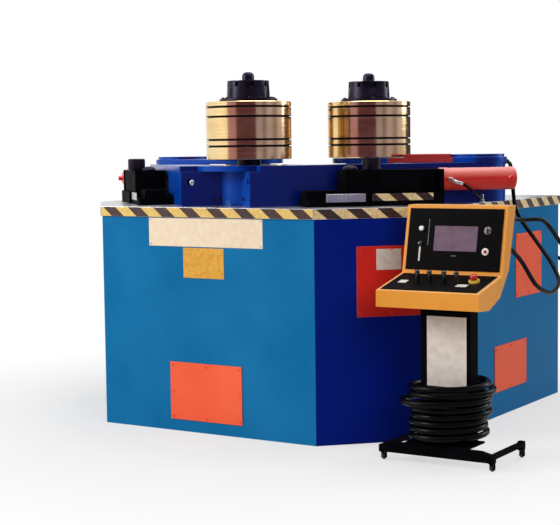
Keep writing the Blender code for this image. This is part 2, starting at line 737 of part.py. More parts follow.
def build_guide_rail(name, side):
    """Base bar, tongue, striped keeper bar and the plate that holds the cylinder."""
    half = TONGUE_WIDTH / 2
    head_from = RAIL_TO - HEAD_PLATE
    rail = flat_box("guide_rail_" + name, (RAIL_FROM, RAIL_TO), (RAIL_IN, RAIL_OUT),
                    (DECK, RAIL_TOP), BLACK)
    tongue = flat_box("tongue", (RAIL_FROM, RAIL_TO - HEAD_PLATE / 2),
                      (RAIL_MID - half, RAIL_MID + half), (RAIL_TOP - WALL, TONGUE_TOP))
    keeper = flat_box("keeper", (KEEPER_FROM, RAIL_TO - HEAD_PLATE / 2),
                      (RAIL_MID + SLIDE_WIDTH / 2 + 2 * RUN, RAIL_OUT + KEEPER), (DECK, KEEPER_TOP))
    plate = flat_box("plate", (head_from, RAIL_TO), (RAIL_IN, RAIL_OUT), (DECK, SLIDE_TOP))
    join(rail, tongue, keeper, plate)
    hole = bore("rod_hole", GUIDE_ROD_R, RUN, -WALL, HEAD_PLATE + WALL)
    cut(rail, aim(hole, (head_from, -RAIL_MID, ROD_Z), (1, 0, 0)))
    lay(rail, side)


def build_guide_slide(name, side):
    """Block over the tongue, with its roller pin, piston rod and piston."""
    half = SLIDE_WIDTH / 2
    gap = TONGUE_WIDTH / 2 + RUN
    slide = flat_box("guide_slide_" + name, (SLIDE_FROM, SLIDE_TO),
                     (RAIL_MID - half, RAIL_MID + half), (RAIL_TOP + SEAT, SLIDE_TOP), BLACKED)
    cut(slide, flat_box("channel", (SLIDE_FROM - WALL, SLIDE_TO + WALL),
                        (RAIL_MID - gap, RAIL_MID + gap), (RAIL_TOP - WALL, TONGUE_TOP + SEAT)))
    pin = rod("pin", GUIDE_PIN_R, SLIDE_TOP - WALL, SLIDE_TOP + SEAT + GUIDE_ROLL_H, 16)
    rod_length = RAIL_TO - SLIDE_TO + SLIDE_TRAVEL + GUIDE_ROD_LEFT
    piston_rod = rod("rod", GUIDE_ROD_R, -WALL, rod_length, 16)
    piston = rod("piston", CYL_BORE_R - RUN, rod_length - PISTON, rod_length + SEAT, 20)
    join(piston_rod, piston)
    aim(piston_rod, (SLIDE_TO, -RAIL_MID, ROD_Z), (1, 0, 0))
    join(slide, shift(pin, GUIDE_ROLL_AT, -GUIDE_ROLL_ACROSS), piston_rod)
    lay(slide, side)


def build_guide_roller(name, side):
    spot = diagonal_point(GUIDE_ROLL_AT, GUIDE_ROLL_ACROSS, 0)
    inner = (GUIDE_PIN_R + RUN) / math.cos(math.pi / 20)
    low = SLIDE_TOP + SEAT
    high = low + GUIDE_ROLL_H
    rim = GUIDE_ROLL_R - GUIDE_ROLL_EDGE
    roller = turned("guide_roller_" + name,
                    [(rim, low), (GUIDE_ROLL_R, low + GUIDE_ROLL_EDGE),
                     (GUIDE_ROLL_R, high - GUIDE_ROLL_EDGE), (rim, high), (inner, high), (inner, low)],
                    20, BLACKED)
    shift(roller, spot.x, spot.y)
    pivot_at(mirror_side(roller, side), (side * spot.x, spot.y, 0))


def build_guide_cylinder(name, side):
    """Cylinder bolted to the head plate, with its two ports facing outwards."""
    front = RAIL_TO + SEAT
    barrel = rod("guide_cylinder_" + name, CYL_R, 0, CYL_L, 24, RED)
    cut(barrel, rod("chamber", CYL_BORE_R, BARREL_WALL / 2, CYL_L - BARREL_WALL / 2, 20),
        bore("gland", GUIDE_ROD_R, RUN, -WALL, BARREL_WALL))
    aim(barrel, (front, -RAIL_MID, ROD_Z), (1, 0, 0))
    for along in (front + PORT_IN, front + CYL_L - PORT_IN):
        port = rod("port", PORT_R, CYL_R - WALL / 2, CYL_R + PORT_H, 12)
        join(barrel, aim(port, (along, -RAIL_MID, ROD_Z), OUTWARD))
    lay(barrel, side)


# Hydraulic power unit

def build_power_unit():
    """Oil tank on feet with its electric pump motor and filler on the lid."""
    width, depth, height = TANK
    low = FLOOR_PLATE + SEAT
    foot_top = low + TANK_FOOT
    top = foot_top + height
    unit = centred_box("hydraulic_unit", (0, TANK_Y, foot_top + height / 2), TANK, GREY)
    feet = []
    for side in (1, -1):
        middle = (side * (width / 2 - TANK_FOOT), TANK_Y, (low + foot_top + TANK_SHEET) / 2)
        size = (TANK_FOOT, depth - TANK_FOOT, foot_top + TANK_SHEET - low)
        feet.append(centred_box("foot", middle, size))
    motor = rod("motor", PUMP_MOTOR_R, -PUMP_MOTOR_L / 2, PUMP_MOTOR_L / 2, 20)
    motor_z = top + PUMP_MOTOR_R + WALL
    aim(motor, (0, TANK_Y, motor_z), (1, 0, 0))
    saddle = box("saddle", (-PUMP_MOTOR_L / 4, TANK_Y - PUMP_MOTOR_R / 2, top - TANK_SHEET / 2),
                 (PUMP_MOTOR_L / 4, TANK_Y + PUMP_MOTOR_R / 2, motor_z))
    filler = shift(rod("filler", FILLER_R, top - WALL, top + FILLER_R, 12), width / 3, TANK_Y)
    oil = centred_box("oil", (0, TANK_Y, foot_top + height / 2),
                      [size - 2 * TANK_SHEET for size in TANK])
    neck = rod("neck", FILLER_R / 2, top - FILLER_R, top + 2 * FILLER_R, 12)
    join(unit, *feet, motor, saddle, filler)
    cut(unit, oil, shift(neck, width / 3, TANK_Y))


# Trolley

BASE_TOP = FRAME_Z + BAR_H + BASE_PLATE
COLUMN_BACK = COLUMN_Y + COLUMN_D / 2


def build_trolley_base():
    """Welded base: a front bar, two flat legs behind it and the plate under the column."""
    half_w = (TROLLEY_W + BAR) / 2
    half_d = TROLLEY_D / 2
    bar_top = FRAME_Z + BAR_H
    low_top = LEG_Z + LEG_H
    outline = [(-half_w, FRAME_Z), (half_w, FRAME_Z), (half_w, low_top), (half_w - BAR_TAPER, bar_top),
               (BAR_TAPER - half_w, bar_top), (-half_w, low_top)]
    base = prism("trolley_base", outline, 0, BAR, BLACK)
    move(base, Matrix(((1, 0, 0, 0), (0, 0, -1, BAR / 2 - half_d), (0, 1, 0, 0), (0, 0, 0, 1))))
    parts = [box("plate", (-BASE_PLATE_W / 2, -half_d - BAR / 4, bar_top - SHEET),
                 (BASE_PLATE_W / 2, COLUMN_BACK - TROLLEY_Y + BASE_PLATE, BASE_TOP))]
    for side in (1, -1):
        middle = side * TROLLEY_W / 2
        parts.append(box("leg", (middle - BAR / 2, -half_d, LEG_Z), (middle + BAR / 2, half_d, low_top)))
        parts.append(centred_box("leg_end", (middle, half_d, FRAME_Z + LEG_END_H / 2),
                                 (BAR * 0.9, BAR, LEG_END_H)))
    join(base, *parts)
    for x, y in castor_corners():
        hole = bore("stem_hole", STEM_R, RUN, FRAME_Z - WALL, FRAME_Z + BAR * 0.8)
        cut(base, shift(hole, x, y))
    shift(base, TROLLEY_X, TROLLEY_Y)


def castor_corners():
    return [(x * TROLLEY_W / 2, y * TROLLEY_D / 2) for x in (-1, 1) for y in (-1, 1)]


def build_castor(number, x, y):
    """Swivel fork with its axle, and the wheel behind the swivel axis."""
    world = (TROLLEY_X + x, TROLLEY_Y + y)
    inside = WHEEL_W / 2 + 2 * RUN
    cheek_x = inside + FORK_CHEEK / 2
    plate_low = FRAME_Z - SEAT - FORK_CHEEK
    name = "castor_fork_%d" % number
    fork = box(name, (-inside - FORK_CHEEK, -STEM_R * 2, plate_low),
               (inside + FORK_CHEEK, TRAIL + AXLE_R * 2, plate_low + FORK_CHEEK), BLACKED)
    parts = [rod("stem", STEM_R, plate_low, FRAME_Z + BAR * 0.7, 16)]
    cheek_low = WHEEL_R - AXLE_R * 2
    cheek_high = plate_low + FORK_CHEEK / 2
    for side in (1, -1):
        parts.append(centred_box("cheek", (side * cheek_x, TRAIL, (cheek_low + cheek_high) / 2),
                                 (FORK_CHEEK, AXLE_R * 4, cheek_high - cheek_low)))
    axle = rod("axle", AXLE_R, -cheek_x, cheek_x, 12)
    parts.append(aim(axle, (0, TRAIL, WHEEL_R), (1, 0, 0)))
    join(fork, *parts)
    pivot_at(shift(fork, *world), (*world, 0))
    inner = (AXLE_R + RUN) / math.cos(math.pi / 20)
    half = WHEEL_W / 2
    wheel = turned("castor_wheel_%d" % number,
                   [(WHEEL_R * 0.8, -half), (WHEEL_R, -half / 2), (WHEEL_R, half / 2),
                    (WHEEL_R * 0.8, half), (inner, half), (inner, -half)], 20, RUBBER)
    centre = (world[0], world[1] + TRAIL, WHEEL_R)
    pivot_at(aim(wheel, centre, (1, 0, 0)), centre)


# Console

def console_profile():
    """Side outline as Y and Z, anticlockwise from the tray's lower front edge."""
    back = CONSOLE_BACK
    return [(back - TRAY_FRONT_IN, TRAY_UNDER_Z), (back - BELLY_IN, BELLY_Z),
            (back - KNEE_LOW_IN, KNEE_LOW_Z), (back - KNEE_IN, KNEE_Z), (back, PROFILE_TOP),
            (back - PANEL_TOP_IN, PROFILE_TOP), (back - PANEL_FOOT_IN, PANEL_FOOT_Z),
            (back - TRAY_FRONT_IN, TRAY_FRONT_Z)]


STAND_UP = Matrix(((0, 0, 1, 0), (1, 0, 0, 0), (0, 1, 0, 0), (0, 0, 0, 1)))


def console_prism(name, grow, look=None):
    """The console's outline grown by a distance, across its width."""
    half = CONSOLE_W / 2 + grow
    piece = prism(name, inset(console_profile(), -grow), CONSOLE_X - half, CONSOLE_X + half, look)
    return move(piece, STAND_UP)


def console_face(low, high):
    """Frame on a face of the console: X across, Y up the slope, Z outwards; and its length."""
    run = Vector((high[0] - low[0], high[1] - low[1]))
    up = run.normalized()
    middle = ((low[0] + high[0]) / 2, (low[1] + high[1]) / 2)
    frame = Matrix(((1, 0, 0, CONSOLE_X), (0, up.x, -up.y, middle[0]),
                    (0, up.y, up.x, middle[1]), (0, 0, 0, 1)))
    return frame, run.length


PROFILE = console_profile()
PANEL_FRAME, PANEL_RUN = console_face(PROFILE[6], PROFILE[5])
TRAY_FRAME, TRAY_RUN = console_face(PROFILE[7], PROFILE[6])
PANEL_SIZE = (CONSOLE_W - 2 * PANEL_MARGIN, PANEL_RUN - 2 * PANEL_MARGIN)
TRAY_SIZE = (CONSOLE_W - 2 * LEVER_MARGIN, TRAY_RUN - 2 * LEVER_MARGIN)


def plate_on(name, frame, size, look, at=(0, 0), low=SEAT, thickness=PANEL):
    piece = centred_box(name, (at[0], at[1], low + thickness / 2), (*size, thickness), look)
    return move(piece, frame)


def hole_on(frame, at, radius, gap):
    return move(shift(bore("hole", radius, gap, -2 * WALL, 2 * WALL, 16), *at), frame)


def build_console():
    housing = console_prism("console_housing", 0.0, YELLOW)
    cut(housing, console_prism("hollow", -SHEET))
    for frame, size in ((PANEL_FRAME, PANEL_SIZE), (TRAY_FRAME, TRAY_SIZE)):
        window = [length - 2 * PLATE_LAP for length in size]
        cut(housing, plate_on("window", frame, window, None, low=-WALL, thickness=2 * WALL))
    for x, height in CONSOLE_GLANDS:
        gland = rod("gland", GLAND_R, -SHEET / 2, GLAND_H, 12)
        slope = (height - KNEE_Z) / (PROFILE_TOP - KNEE_Z)
        join(housing, aim(gland, (x, CONSOLE_BACK - KNEE_IN * (1 - slope), height), (0, 1, 0)))
    panel = plate_on("console_panel", PANEL_FRAME, PANEL_SIZE, BLACK)
    cut(panel, plate_on("window", PANEL_FRAME, (SCREEN_W, SCREEN_H), None, SCREEN_AT, -WALL, 2 * WALL))
    screen_size = (SCREEN_W - 2 * SEAT, SCREEN_H - 2 * SEAT)
    plate_on("console_screen", PANEL_FRAME, screen_size, SCREEN_GLASS, SCREEN_AT, SEAT, SCREEN)
    for at, radius in ((START_AT, BUTTON_STEM_R), (STOP_AT, BUTTON_STEM_R),
                       (SELECTOR_AT, BUTTON_STEM_R)):
        cut(panel, hole_on(PANEL_FRAME, at, radius, RUN))


def build_button(name, frame, at, head, stem_r, clear, look):
    """Turned cap over its plate, on a stem through the plate."""
    cap_low = SEAT + PANEL + clear + SEAT
    radius, height = head
    profile = [(0, -STEM_DEPTH), (stem_r, -STEM_DEPTH), (stem_r, cap_low), (radius, cap_low),
               (radius, cap_low + height * 0.8), (radius * 0.85, cap_low + height),
               (0, cap_low + height)]
    piece = move(shift(turned(name, profile, 16, look), *at), frame)
    return pivot_at(piece, frame @ Vector((*at, 0)))


def build_controls():
    button = (BUTTON_R, BUTTON_H)
    build_button("start_button", PANEL_FRAME, START_AT, button, BUTTON_STEM_R, BUTTON_TRAVEL, WHITE)
    build_button("stop_button", PANEL_FRAME, STOP_AT, button, BUTTON_STEM_R, BUTTON_TRAVEL, RED)
    build_button("selector_knob", PANEL_FRAME, SELECTOR_AT, (SELECTOR_R, SELECTOR_H),
                 BUTTON_STEM_R, SEAT, STEEL)
    plate = plate_on("lever_plate", TRAY_FRAME, TRAY_SIZE, BLACK, thickness=LEVER_PLATE)
    stop_at = (STOP_HEAD_X, STOP_HEAD_ACROSS)
    collar = rod("collar", COLLAR_R, SEAT, LEVER_PLATE + COLLAR_H, 20)
    join(plate, move(shift(collar, *stop_at), TRAY_FRAME))
    cut(plate, hole_on(TRAY_FRAME, stop_at, STOP_STEM_R, RUN))
    build_button("emergency_stop", TRAY_FRAME, stop_at, (STOP_HEAD_R, STOP_HEAD_H),
                 STOP_STEM_R, COLLAR_H + STOP_TRAVEL, RED)
    for number, x in enumerate(LEVER_XS, 1):
        build_lever(number, x, plate)


def build_lever(number, x, plate):
    """Joystick on a ball under the plate; the slot lets it tilt fore and aft."""
    reach = math.tan(LEVER_SWING) * (LEVER_BALL_DROP + LEVER_PLATE + SEAT) + LEVER_STEM_R
    slot = centred_box("slot", (x, LEVER_ACROSS, 0),
                       (2 * (LEVER_STEM_R + RUN), 2 * (reach + RUN), 2 * WALL))
    cut(plate, move(slot, TRAY_FRAME))
    ball = LEVER_BALL_R
    neck = LEVER_STEM_R
    top = LEVER_BALL_DROP + LEVER_H
    profile = [(0, -ball), (ball * 0.7, -ball * 0.7), (ball, 0), (ball * 0.7, ball * 0.7), (neck, ball),
               (neck, top * 0.5), (LEVER_KNOB_R * 0.7, top * 0.55), (LEVER_KNOB_R, top * 0.9),
               (LEVER_KNOB_R * 0.7, top), (0, top)]
    lever = shift(turned("lever_%d" % number, profile, 12, BLACK), x, LEVER_ACROSS, -LEVER_BALL_DROP)
    move(lever, TRAY_FRAME)
    pivot_at(lever, TRAY_FRAME @ Vector((x, LEVER_ACROSS, -LEVER_BALL_DROP)))


# Column, with the glands of the coiled cable on its back

COIL_LOW = BASE_TOP + COIL_CABLE_R + COLUMN_WALL + 2 * SEAT
COIL_HIGH = COIL_LOW + COIL_PITCH * COIL_LOOPS


def build_column():
    low = BASE_TOP + SEAT
    column = box("trolley_column", (TROLLEY_X - COLUMN_W / 2, COLUMN_Y - COLUMN_D / 2, low),
                 (TROLLEY_X + COLUMN_W / 2, COLUMN_BACK, COLUMN_TOP), BLACK)
    inner = (COLUMN_W - 2 * COLUMN_WALL, COLUMN_D - 2 * COLUMN_WALL)
    cut(column, centred_box("hollow", (TROLLEY_X, COLUMN_Y, low + COLUMN_WALL + COLUMN_TOP / 2),
                            (*inner, COLUMN_TOP)))
    cut(column, console_prism("console", SEAT))
    for height in (COIL_LOW, COIL_HIGH):
        gland = rod("gland", COIL_CABLE_R + COLUMN_WALL, -COLUMN_WALL / 2, GLAND_H, 12)
        join(column, aim(gland, (TROLLEY_X, COLUMN_BACK, height), (0, 1, 0)))


# Cables and hose

def smooth(route, spacing):
    """Evenly spaced points on a smooth curve; the first and last stretch stay straight."""
    points = [Vector(p) for p in route]
    dense = []
    for a, b, c, d in zip(points, points[1:], points[2:], points[3:]):
        for i in range(24):
            t = i / 24
            dense.append(0.5 * (2 * b + (c - a) * t + (2 * a - 5 * b + 4 * c - d) * t ** 2
                                + (3 * b - a - 3 * c + d) * t ** 3))
    dense.append(points[-2])
    total = sum((q - p).length for p, q in zip(dense, dense[1:]))
    count = max(2, round(total / spacing))
    result = [dense[0]]
    walked = 0.0
    for p, q in zip(dense, dense[1:]):
        walked += (q - p).length
        if walked >= total * len(result) / count and len(result) < count:
            result.append(q)
    return [points[0]] + result + [dense[-1], points[-1]]


def tube(name, points, radius, resolution, look):
    curve = bpy.data.curves.new(name, "CURVE")
    curve.dimensions = "3D"
    curve.bevel_depth = radius
    curve.bevel_resolution = resolution
    curve.use_fill_caps = True
    spline = curve.splines.new("POLY")
    spline.points.add(len(points) - 1)
    for slot, point in zip(spline.points, points):
        slot.co = (*point, 1.0)
    piece = bpy.data.objects.new(name, curve)
    bpy.context.collection.objects.link(piece)
    curve.materials.append(paint(name, look))
    return piece


def with_ends(start, leave, route, arrive, end, straight):
    """A route that leaves and arrives straight, square to its glands."""
    start, end = Vector(start), Vector(end)
    first = start + Vector(leave) * straight
    last = end + Vector(arrive) * straight
    return [start, first, *route, last, end]


def console_gland_mouth(gland):
    x, height = gland
    slope = (height - KNEE_Z) / (PROFILE_TOP - KNEE_Z)
    return (x, CONSOLE_BACK - KNEE_IN * (1 - slope) + GLAND_H + SEAT, height)


def build_cables():
    step = 5 * CABLE_R
    loop = with_ends((*LOOP_GLAND, DECK_TOP + GLAND_H + SEAT), (0, 0, 1), LOOP_ROUTE,
                     (0, 1, 0), console_gland_mouth(CONSOLE_GLANDS[0]), 2 * CABLE_R)
    tube("control_cable", smooth(loop, step), CABLE_R, 2, RUBBER)
    rear = (REAR_GLAND[0], REAR_Y + GLAND_H + SEAT, REAR_GLAND[1])
    link = with_ends(console_gland_mouth(CONSOLE_GLANDS[1]), (0, 1, 0), LINK_ROUTE,
                     (0, 1, 0), rear, 2 * CABLE_R)
    tube("supply_cable", smooth(link, step), CABLE_R, 2, RUBBER)
    port = diagonal_point(RAIL_TO + SEAT + PORT_IN, RAIL_MID + CYL_R + PORT_H + SEAT, ROD_Z)
    hose = with_ends(port, DIAGONAL.to_3x3() @ Vector(OUTWARD), HOSE_ROUTE, (0, 0, 1),
                     (*HOSE_GLAND, DECK_TOP + HOSE_GLAND_H + SEAT), 2 * HOSE_R)
    tube("guide_hose", smooth(hose, 5 * HOSE_R), HOSE_R, 2, RUBBER)


def coil_points():
    """One cable: out of the low gland, round the column, and in at the high gland."""
    mouth = COLUMN_BACK + GLAND_H + SEAT - COLUMN_Y
    inner = mouth + COIL_STRAIGHT
    end_angle = math.tau * COIL_LOOPS
    path = [(mouth, 0.0)]
    for i in range(COIL_LEAD_STEPS):
        quarter = math.pi / 2 * i / COIL_LEAD_STEPS
        path.append((inner + (COIL_R - inner) * math.sin(quarter), COIL_LEAD * (1 - math.cos(quarter))))
    steps = round(COIL_STEPS * (end_angle - 2 * COIL_LEAD) / math.tau)
    lead_in = list(path)
    for i in range(steps + 1):
        share = i / steps
        uneven = COIL_UNEVEN * math.sin(math.pi * share) * math.sin(COIL_UNEVEN_RATE * math.tau * share)
        loose = COIL_LOOSE * math.exp(-((share - COIL_LOOSE_AT) / COIL_LOOSE_SPREAD) ** 2)
        path.append((COIL_R + uneven + loose, COIL_LEAD + (end_angle - 2 * COIL_LEAD) * share))
    path += [(radius, end_angle - angle) for radius, angle in reversed(lead_in)]
    points = []
    for radius, angle in path:
        around = angle + math.pi / 2
        points.append(Vector((TROLLEY_X + radius * math.cos(around), COLUMN_Y + radius * math.sin(around),
                              COIL_LOW + COIL_PITCH * angle / math.tau)))
    return points


def least_gap(points, radius):
    """Smallest gap between turns that aren't neighbours along the cable."""
    skip = COIL_STEPS // 2
    gaps = []
    for i, p in enumerate(points):
        gaps += [(p - q).length for q in points[i + skip:]]
    return min(gaps) - 2 * radius


def build_coil():
    points = coil_points()
    length = sum((q - p).length for p, q in zip(points, points[1:]))
    print("cable_coil: length %.2f m, least gap %.1f mm" %
          (length, 1000 * least_gap(points, COIL_CABLE_R)))
    tube("cable_coil", points, COIL_CABLE_R, 1, RUBBER)


def main():
    clear_scene()
    build_cabinet()
    build_deck()
    build_bracket()
    build_roll("centre", 0, CENTRE_Y)
    build_drive("roll_drive_centre", 0, CENTRE_Y, CABINET_TOP)
    for name, side in SIDES:
        build_roll(name, side * SIDE_X, SIDE_Y)
        build_arm(name, side)
        build_swing_cylinder(name, side)
        build_guide_rail(name, side)
        build_guide_slide(name, side)
        build_guide_roller(name, side)
        build_guide_cylinder(name, side)
    build_power_unit()
    build_trolley_base()
    for number, (x, y) in enumerate(castor_corners(), 1):
        build_castor(number, x, y)
    build_column()
    build_console()
    build_controls()
    build_cables()
    build_coil()


main()
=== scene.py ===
"""Profile bending machine: finishes, trim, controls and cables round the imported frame.

Metres, +Z up.  The origin lies on the floor at the middle of the cabinet's footprint,
the operator stands on the -Y side, and the console trolley is at the operator's right.
"""
import json
import math

import bpy
from mathutils import Matrix, Vector

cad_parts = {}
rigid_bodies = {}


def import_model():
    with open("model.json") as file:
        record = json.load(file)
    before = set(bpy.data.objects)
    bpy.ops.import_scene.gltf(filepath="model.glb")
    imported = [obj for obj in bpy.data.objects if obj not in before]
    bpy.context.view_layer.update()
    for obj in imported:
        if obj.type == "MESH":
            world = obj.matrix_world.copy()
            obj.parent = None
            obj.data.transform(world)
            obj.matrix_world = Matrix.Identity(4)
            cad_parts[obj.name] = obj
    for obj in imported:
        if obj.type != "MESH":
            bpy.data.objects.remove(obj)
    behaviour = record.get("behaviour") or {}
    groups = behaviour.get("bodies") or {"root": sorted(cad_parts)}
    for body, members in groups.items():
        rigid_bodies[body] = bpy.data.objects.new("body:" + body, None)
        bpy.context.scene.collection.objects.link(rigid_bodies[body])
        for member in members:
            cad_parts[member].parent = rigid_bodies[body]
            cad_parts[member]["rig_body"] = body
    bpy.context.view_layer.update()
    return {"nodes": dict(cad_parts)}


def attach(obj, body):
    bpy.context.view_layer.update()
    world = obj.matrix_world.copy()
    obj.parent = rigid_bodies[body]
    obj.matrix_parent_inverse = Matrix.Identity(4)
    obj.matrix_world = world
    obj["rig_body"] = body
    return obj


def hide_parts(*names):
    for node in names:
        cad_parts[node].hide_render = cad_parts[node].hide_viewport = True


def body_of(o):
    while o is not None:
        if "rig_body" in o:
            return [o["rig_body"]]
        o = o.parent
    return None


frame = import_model()
NODES = frame["nodes"]

# Sizes taken over from the CAD
SEAT = 0.0003  # clearance under a seated piece
FRONT_HALF = 0.621  # half the front wall's width
HALF_WIDTH = 1.055  # half the cabinet's width
FRONT_Y, REAR_Y = -0.952, 0.952
CORNER_CUT, LEFT_CUT_DEPTH = 0.434, 0.540
DECK_TOP, DECK_PLATE, DECK_LIP = 1.100, 0.048, 0.009
ROLLS = {"centre": (0.0, -0.542), "right": (0.380, 0.018), "left": (-0.380, 0.018)}
ROLL_R, ROLL_BOTTOM, STACK_TOP, FLANGE_TOP = 0.215, 1.326, 1.613, 1.6284
PIVOT = (0.920, 0.158)
ARM_TOP, ARM_CAP_R, ARM_WIDE, ARM_NARROW = 1.3233, 0.145, 0.1935, 0.160
BEAM_START = 0.218
RAIL_MID, RAIL_OUT, RAIL_TO = 0.1643, 0.2493, 1.135
KEEPER_FROM, KEEPER_OUT, KEEPER_TOP = 0.770, 0.2613, 1.160
SLIDE_TOP = 1.2713
GUIDE_ROLL = (0.780, 0.219)
CYL_R, CYL_L, PORT_H, PORT_IN, ROD_Z = 0.056, 0.385, 0.018, 0.035, 1.2198


def at(x, y, z=0.0):
    return Matrix.Translation((x, y, z))


def turn(degrees, axis):
    return Matrix.Rotation(math.radians(degrees), 4, axis)


# Camera, at the photograph's viewing angle

CAMERA_AT = (4.017, -6.6005, 1.3828)
CAMERA_TURN = (85.359, 32.366, -0.746)  # tilt, heading and roll in degrees
LENS = 92.6  # focal length in millimetres
LENS_SHIFT = (-0.0007, 0.0037)
CLIP_END = 60


def make_camera():
    data = bpy.data.cameras.new("camera")
    data.lens = LENS
    data.shift_x, data.shift_y = LENS_SHIFT
    data.clip_end = CLIP_END
    camera = bpy.data.objects.new("camera", data)
    bpy.context.collection.objects.link(camera)
    tilt, heading, roll = CAMERA_TURN
    camera.matrix_world = at(*CAMERA_AT) @ (turn(heading, "Z") @ turn(tilt, "X") @ turn(roll, "Z"))
    bpy.context.scene.camera = camera


make_camera()


# Cables and hose; the routes are those of the CAD

CABLE_R, HOSE_R = 0.010, 0.007
STRAIGHT_END, POINT_SPACING = 2, 5  # in radii of the cable
SPLINE_STEPS = 24
GLAND_R, GLAND_H, HOSE_GLAND_H = 0.019, 0.030, 0.006
LOOP_GLAND = (0.930, 0.400)
HOSE_GLAND = (1.040, -0.030)
REAR_GLAND = (0.960, 0.780)
CONSOLE_GLANDS = ((1.475, 0.945), (1.490, 1.056))
CONSOLE_BACK = -0.737
KNEE_IN, KNEE_Z, PROFILE_TOP = 0.077, 0.841, 1.120
LOOP_ROUTE = ((0.935, 0.398, 1.200), (0.965, 0.384, 1.270), (1.010, 0.345, 1.300),
              (1.050, 0.304, 1.276), (1.071, 0.282, 1.174), (1.087, 0.268, 1.082),
              (1.121, 0.254, 1.010), (1.190, 0.222, 0.940), (1.260, 0.177, 0.876),
              (1.340, 0.110, 0.812), (1.407, 0.033, 0.756), (1.454, -0.055, 0.722),
              (1.485, -0.178, 0.696), (1.495, -0.290, 0.693), (1.494, -0.445, 0.745),
              (1.480, -0.575, 0.860))
LINK_ROUTE = ((1.499, -0.655, 1.052), (1.521, -0.590, 1.048), (1.552, -0.503, 1.044),
              (1.562, -0.403, 0.985), (1.566, -0.291, 0.914), (1.600, -0.120, 0.820),
              (1.625, 0.120, 0.720), (1.610, 0.380, 0.650), (1.500, 0.720, 0.620),
              (1.300, 1.000, 0.630), (1.100, 1.110, 0.690), (0.975, 1.060, 0.765))
HOSE_ROUTE = ((1.012, -0.312, 1.214), (1.040, -0.292, 1.204), (1.055, -0.273, 1.197),
              (1.073, -0.225, 1.168), (1.077, -0.170, 1.142), (1.070, -0.110, 1.130),
              (1.052, -0.058, 1.134))
UP, BACK = (0, 0, 1), (0, 1, 0)
DIAGONAL = at(0, FRONT_Y) @ turn(45, "Z")
MIRROR = Matrix.Scale(-1, 4, (1, 0, 0))


def diagonal_point(along, across, height):
    """World point on the right; across is measured outwards from the 45 degree line."""
    return DIAGONAL @ Vector((along, -across, height))


def console_gland_mouth(gland):
    x, height = gland
    slope = (height - KNEE_Z) / (PROFILE_TOP - KNEE_Z)
    return Vector((x, CONSOLE_BACK - KNEE_IN * (1 - slope) + GLAND_H + SEAT, height))


def run_length(points):
    return sum((q - p).length for p, q in zip(points, points[1:]))


def smooth(route, spacing):
    """Evenly spaced points on a smooth curve; the first and last stretch stay straight."""
    points = [Vector(p) for p in route]
    dense = []
    for a, b, c, d in zip(points, points[1:], points[2:], points[3:]):
        for i in range(SPLINE_STEPS):
            t = i / SPLINE_STEPS
            dense.append(0.5 * (2 * b + (c - a) * t + (2 * a - 5 * b + 4 * c - d) * t ** 2
                                + (3 * b - a - 3 * c + d) * t ** 3))
    dense.append(points[-2])
    total = run_length(dense)
    count = max(2, round(total / spacing))
    result = [dense[0]]
    walked = 0.0
    for p, q in zip(dense, dense[1:]):
        walked += (q - p).length
        if walked >= total * len(result) / count and len(result) < count:
            result.append(q)
    return [points[0]] + result + [dense[-1], points[-1]]


def cable_run(start, leave, route, arrive, end, radius):
    """Points of a cable that leaves and arrives straight, square to its glands."""
    straight = STRAIGHT_END * radius
    first = Vector(start) + Vector(leave) * straight
    last = Vector(end) + Vector(arrive) * straight
    return smooth([start, first, *route, last, end], POINT_SPACING * radius)


def cord_curve(name, points, radius):
    curve = bpy.data.curves.new(name, "CURVE")
    curve.dimensions = "3D"
    curve.bevel_depth = 1.0  # so that a point's radius is the cord's
    curve.bevel_resolution = 5
    curve.use_fill_caps = True
    spline = curve.splines.new("POLY")
    spline.points.add(len(points) - 1)
    for knot, point in zip(spline.points, points):
        knot.co = (*point, 1.0)
        knot.radius = radius
    spline.use_smooth = True
    cord = bpy.data.objects.new(name, curve)
    bpy.context.collection.objects.link(cord)
    return cord


def lay_cord(node, points, radius):
    """A cord that ends in the object and takes its CAD solid's place."""
    cord = cord_curve(node + "_jacket", points, radius)
    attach(cord, "machine")
    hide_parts(node)
    return cord


OUTWARD = DIAGONAL.to_3x3() @ Vector((0, -1, 0))
PORT = diagonal_point(RAIL_TO + SEAT + PORT_IN, RAIL_MID + CYL_R + PORT_H + SEAT, ROD_Z)
LOOP_POINTS = cable_run((*LOOP_GLAND, DECK_TOP + GLAND_H + SEAT), UP, LOOP_ROUTE,
                        BACK, console_gland_mouth(CONSOLE_GLANDS[0]), CABLE_R)
LINK_POINTS = cable_run(console_gland_mouth(CONSOLE_GLANDS[1]), BACK, LINK_ROUTE,
                        BACK, (REAR_GLAND[0], REAR_Y + GLAND_H + SEAT, REAR_GLAND[1]), CABLE_R)
HOSE_POINTS = cable_run(PORT, OUTWARD, HOSE_ROUTE,
                        UP, (*HOSE_GLAND, DECK_TOP + HOSE_GLAND_H + SEAT), HOSE_R)
CABLES = [lay_cord("control_cable", LOOP_POINTS, CABLE_R),
          lay_cord("supply_cable", LINK_POINTS, CABLE_R),
          lay_cord("guide_hose", HOSE_POINTS, HOSE_R)]


# The coiled cable round the column

TROLLEY_X = 1.283
COLUMN_Y, COLUMN_FRONT, COLUMN_BACK = -0.913, -0.952, -0.874
BASE_TOP, COLUMN_SHEET = 0.090, 0.003
COIL_CABLE_R = 0.014
COIL_R = 0.171
COIL_LOOPS = 8
COIL_PITCH = 0.0305
COIL_STEPS = 24  # points in a turn
COIL_LEAD = 0.80  # angle in which an end swings out to the turns
COIL_LEAD_STEPS = 6
COIL_STRAIGHT = 0.030
COIL_UNEVEN = 0.009  # how much the turns wander, and how often on the way up
COIL_UNEVEN_RATE = 7.3
COIL_WAIST = 0.013  # how much the lower turns are drawn in, and up to what share
COIL_WAIST_SHARE = 0.7
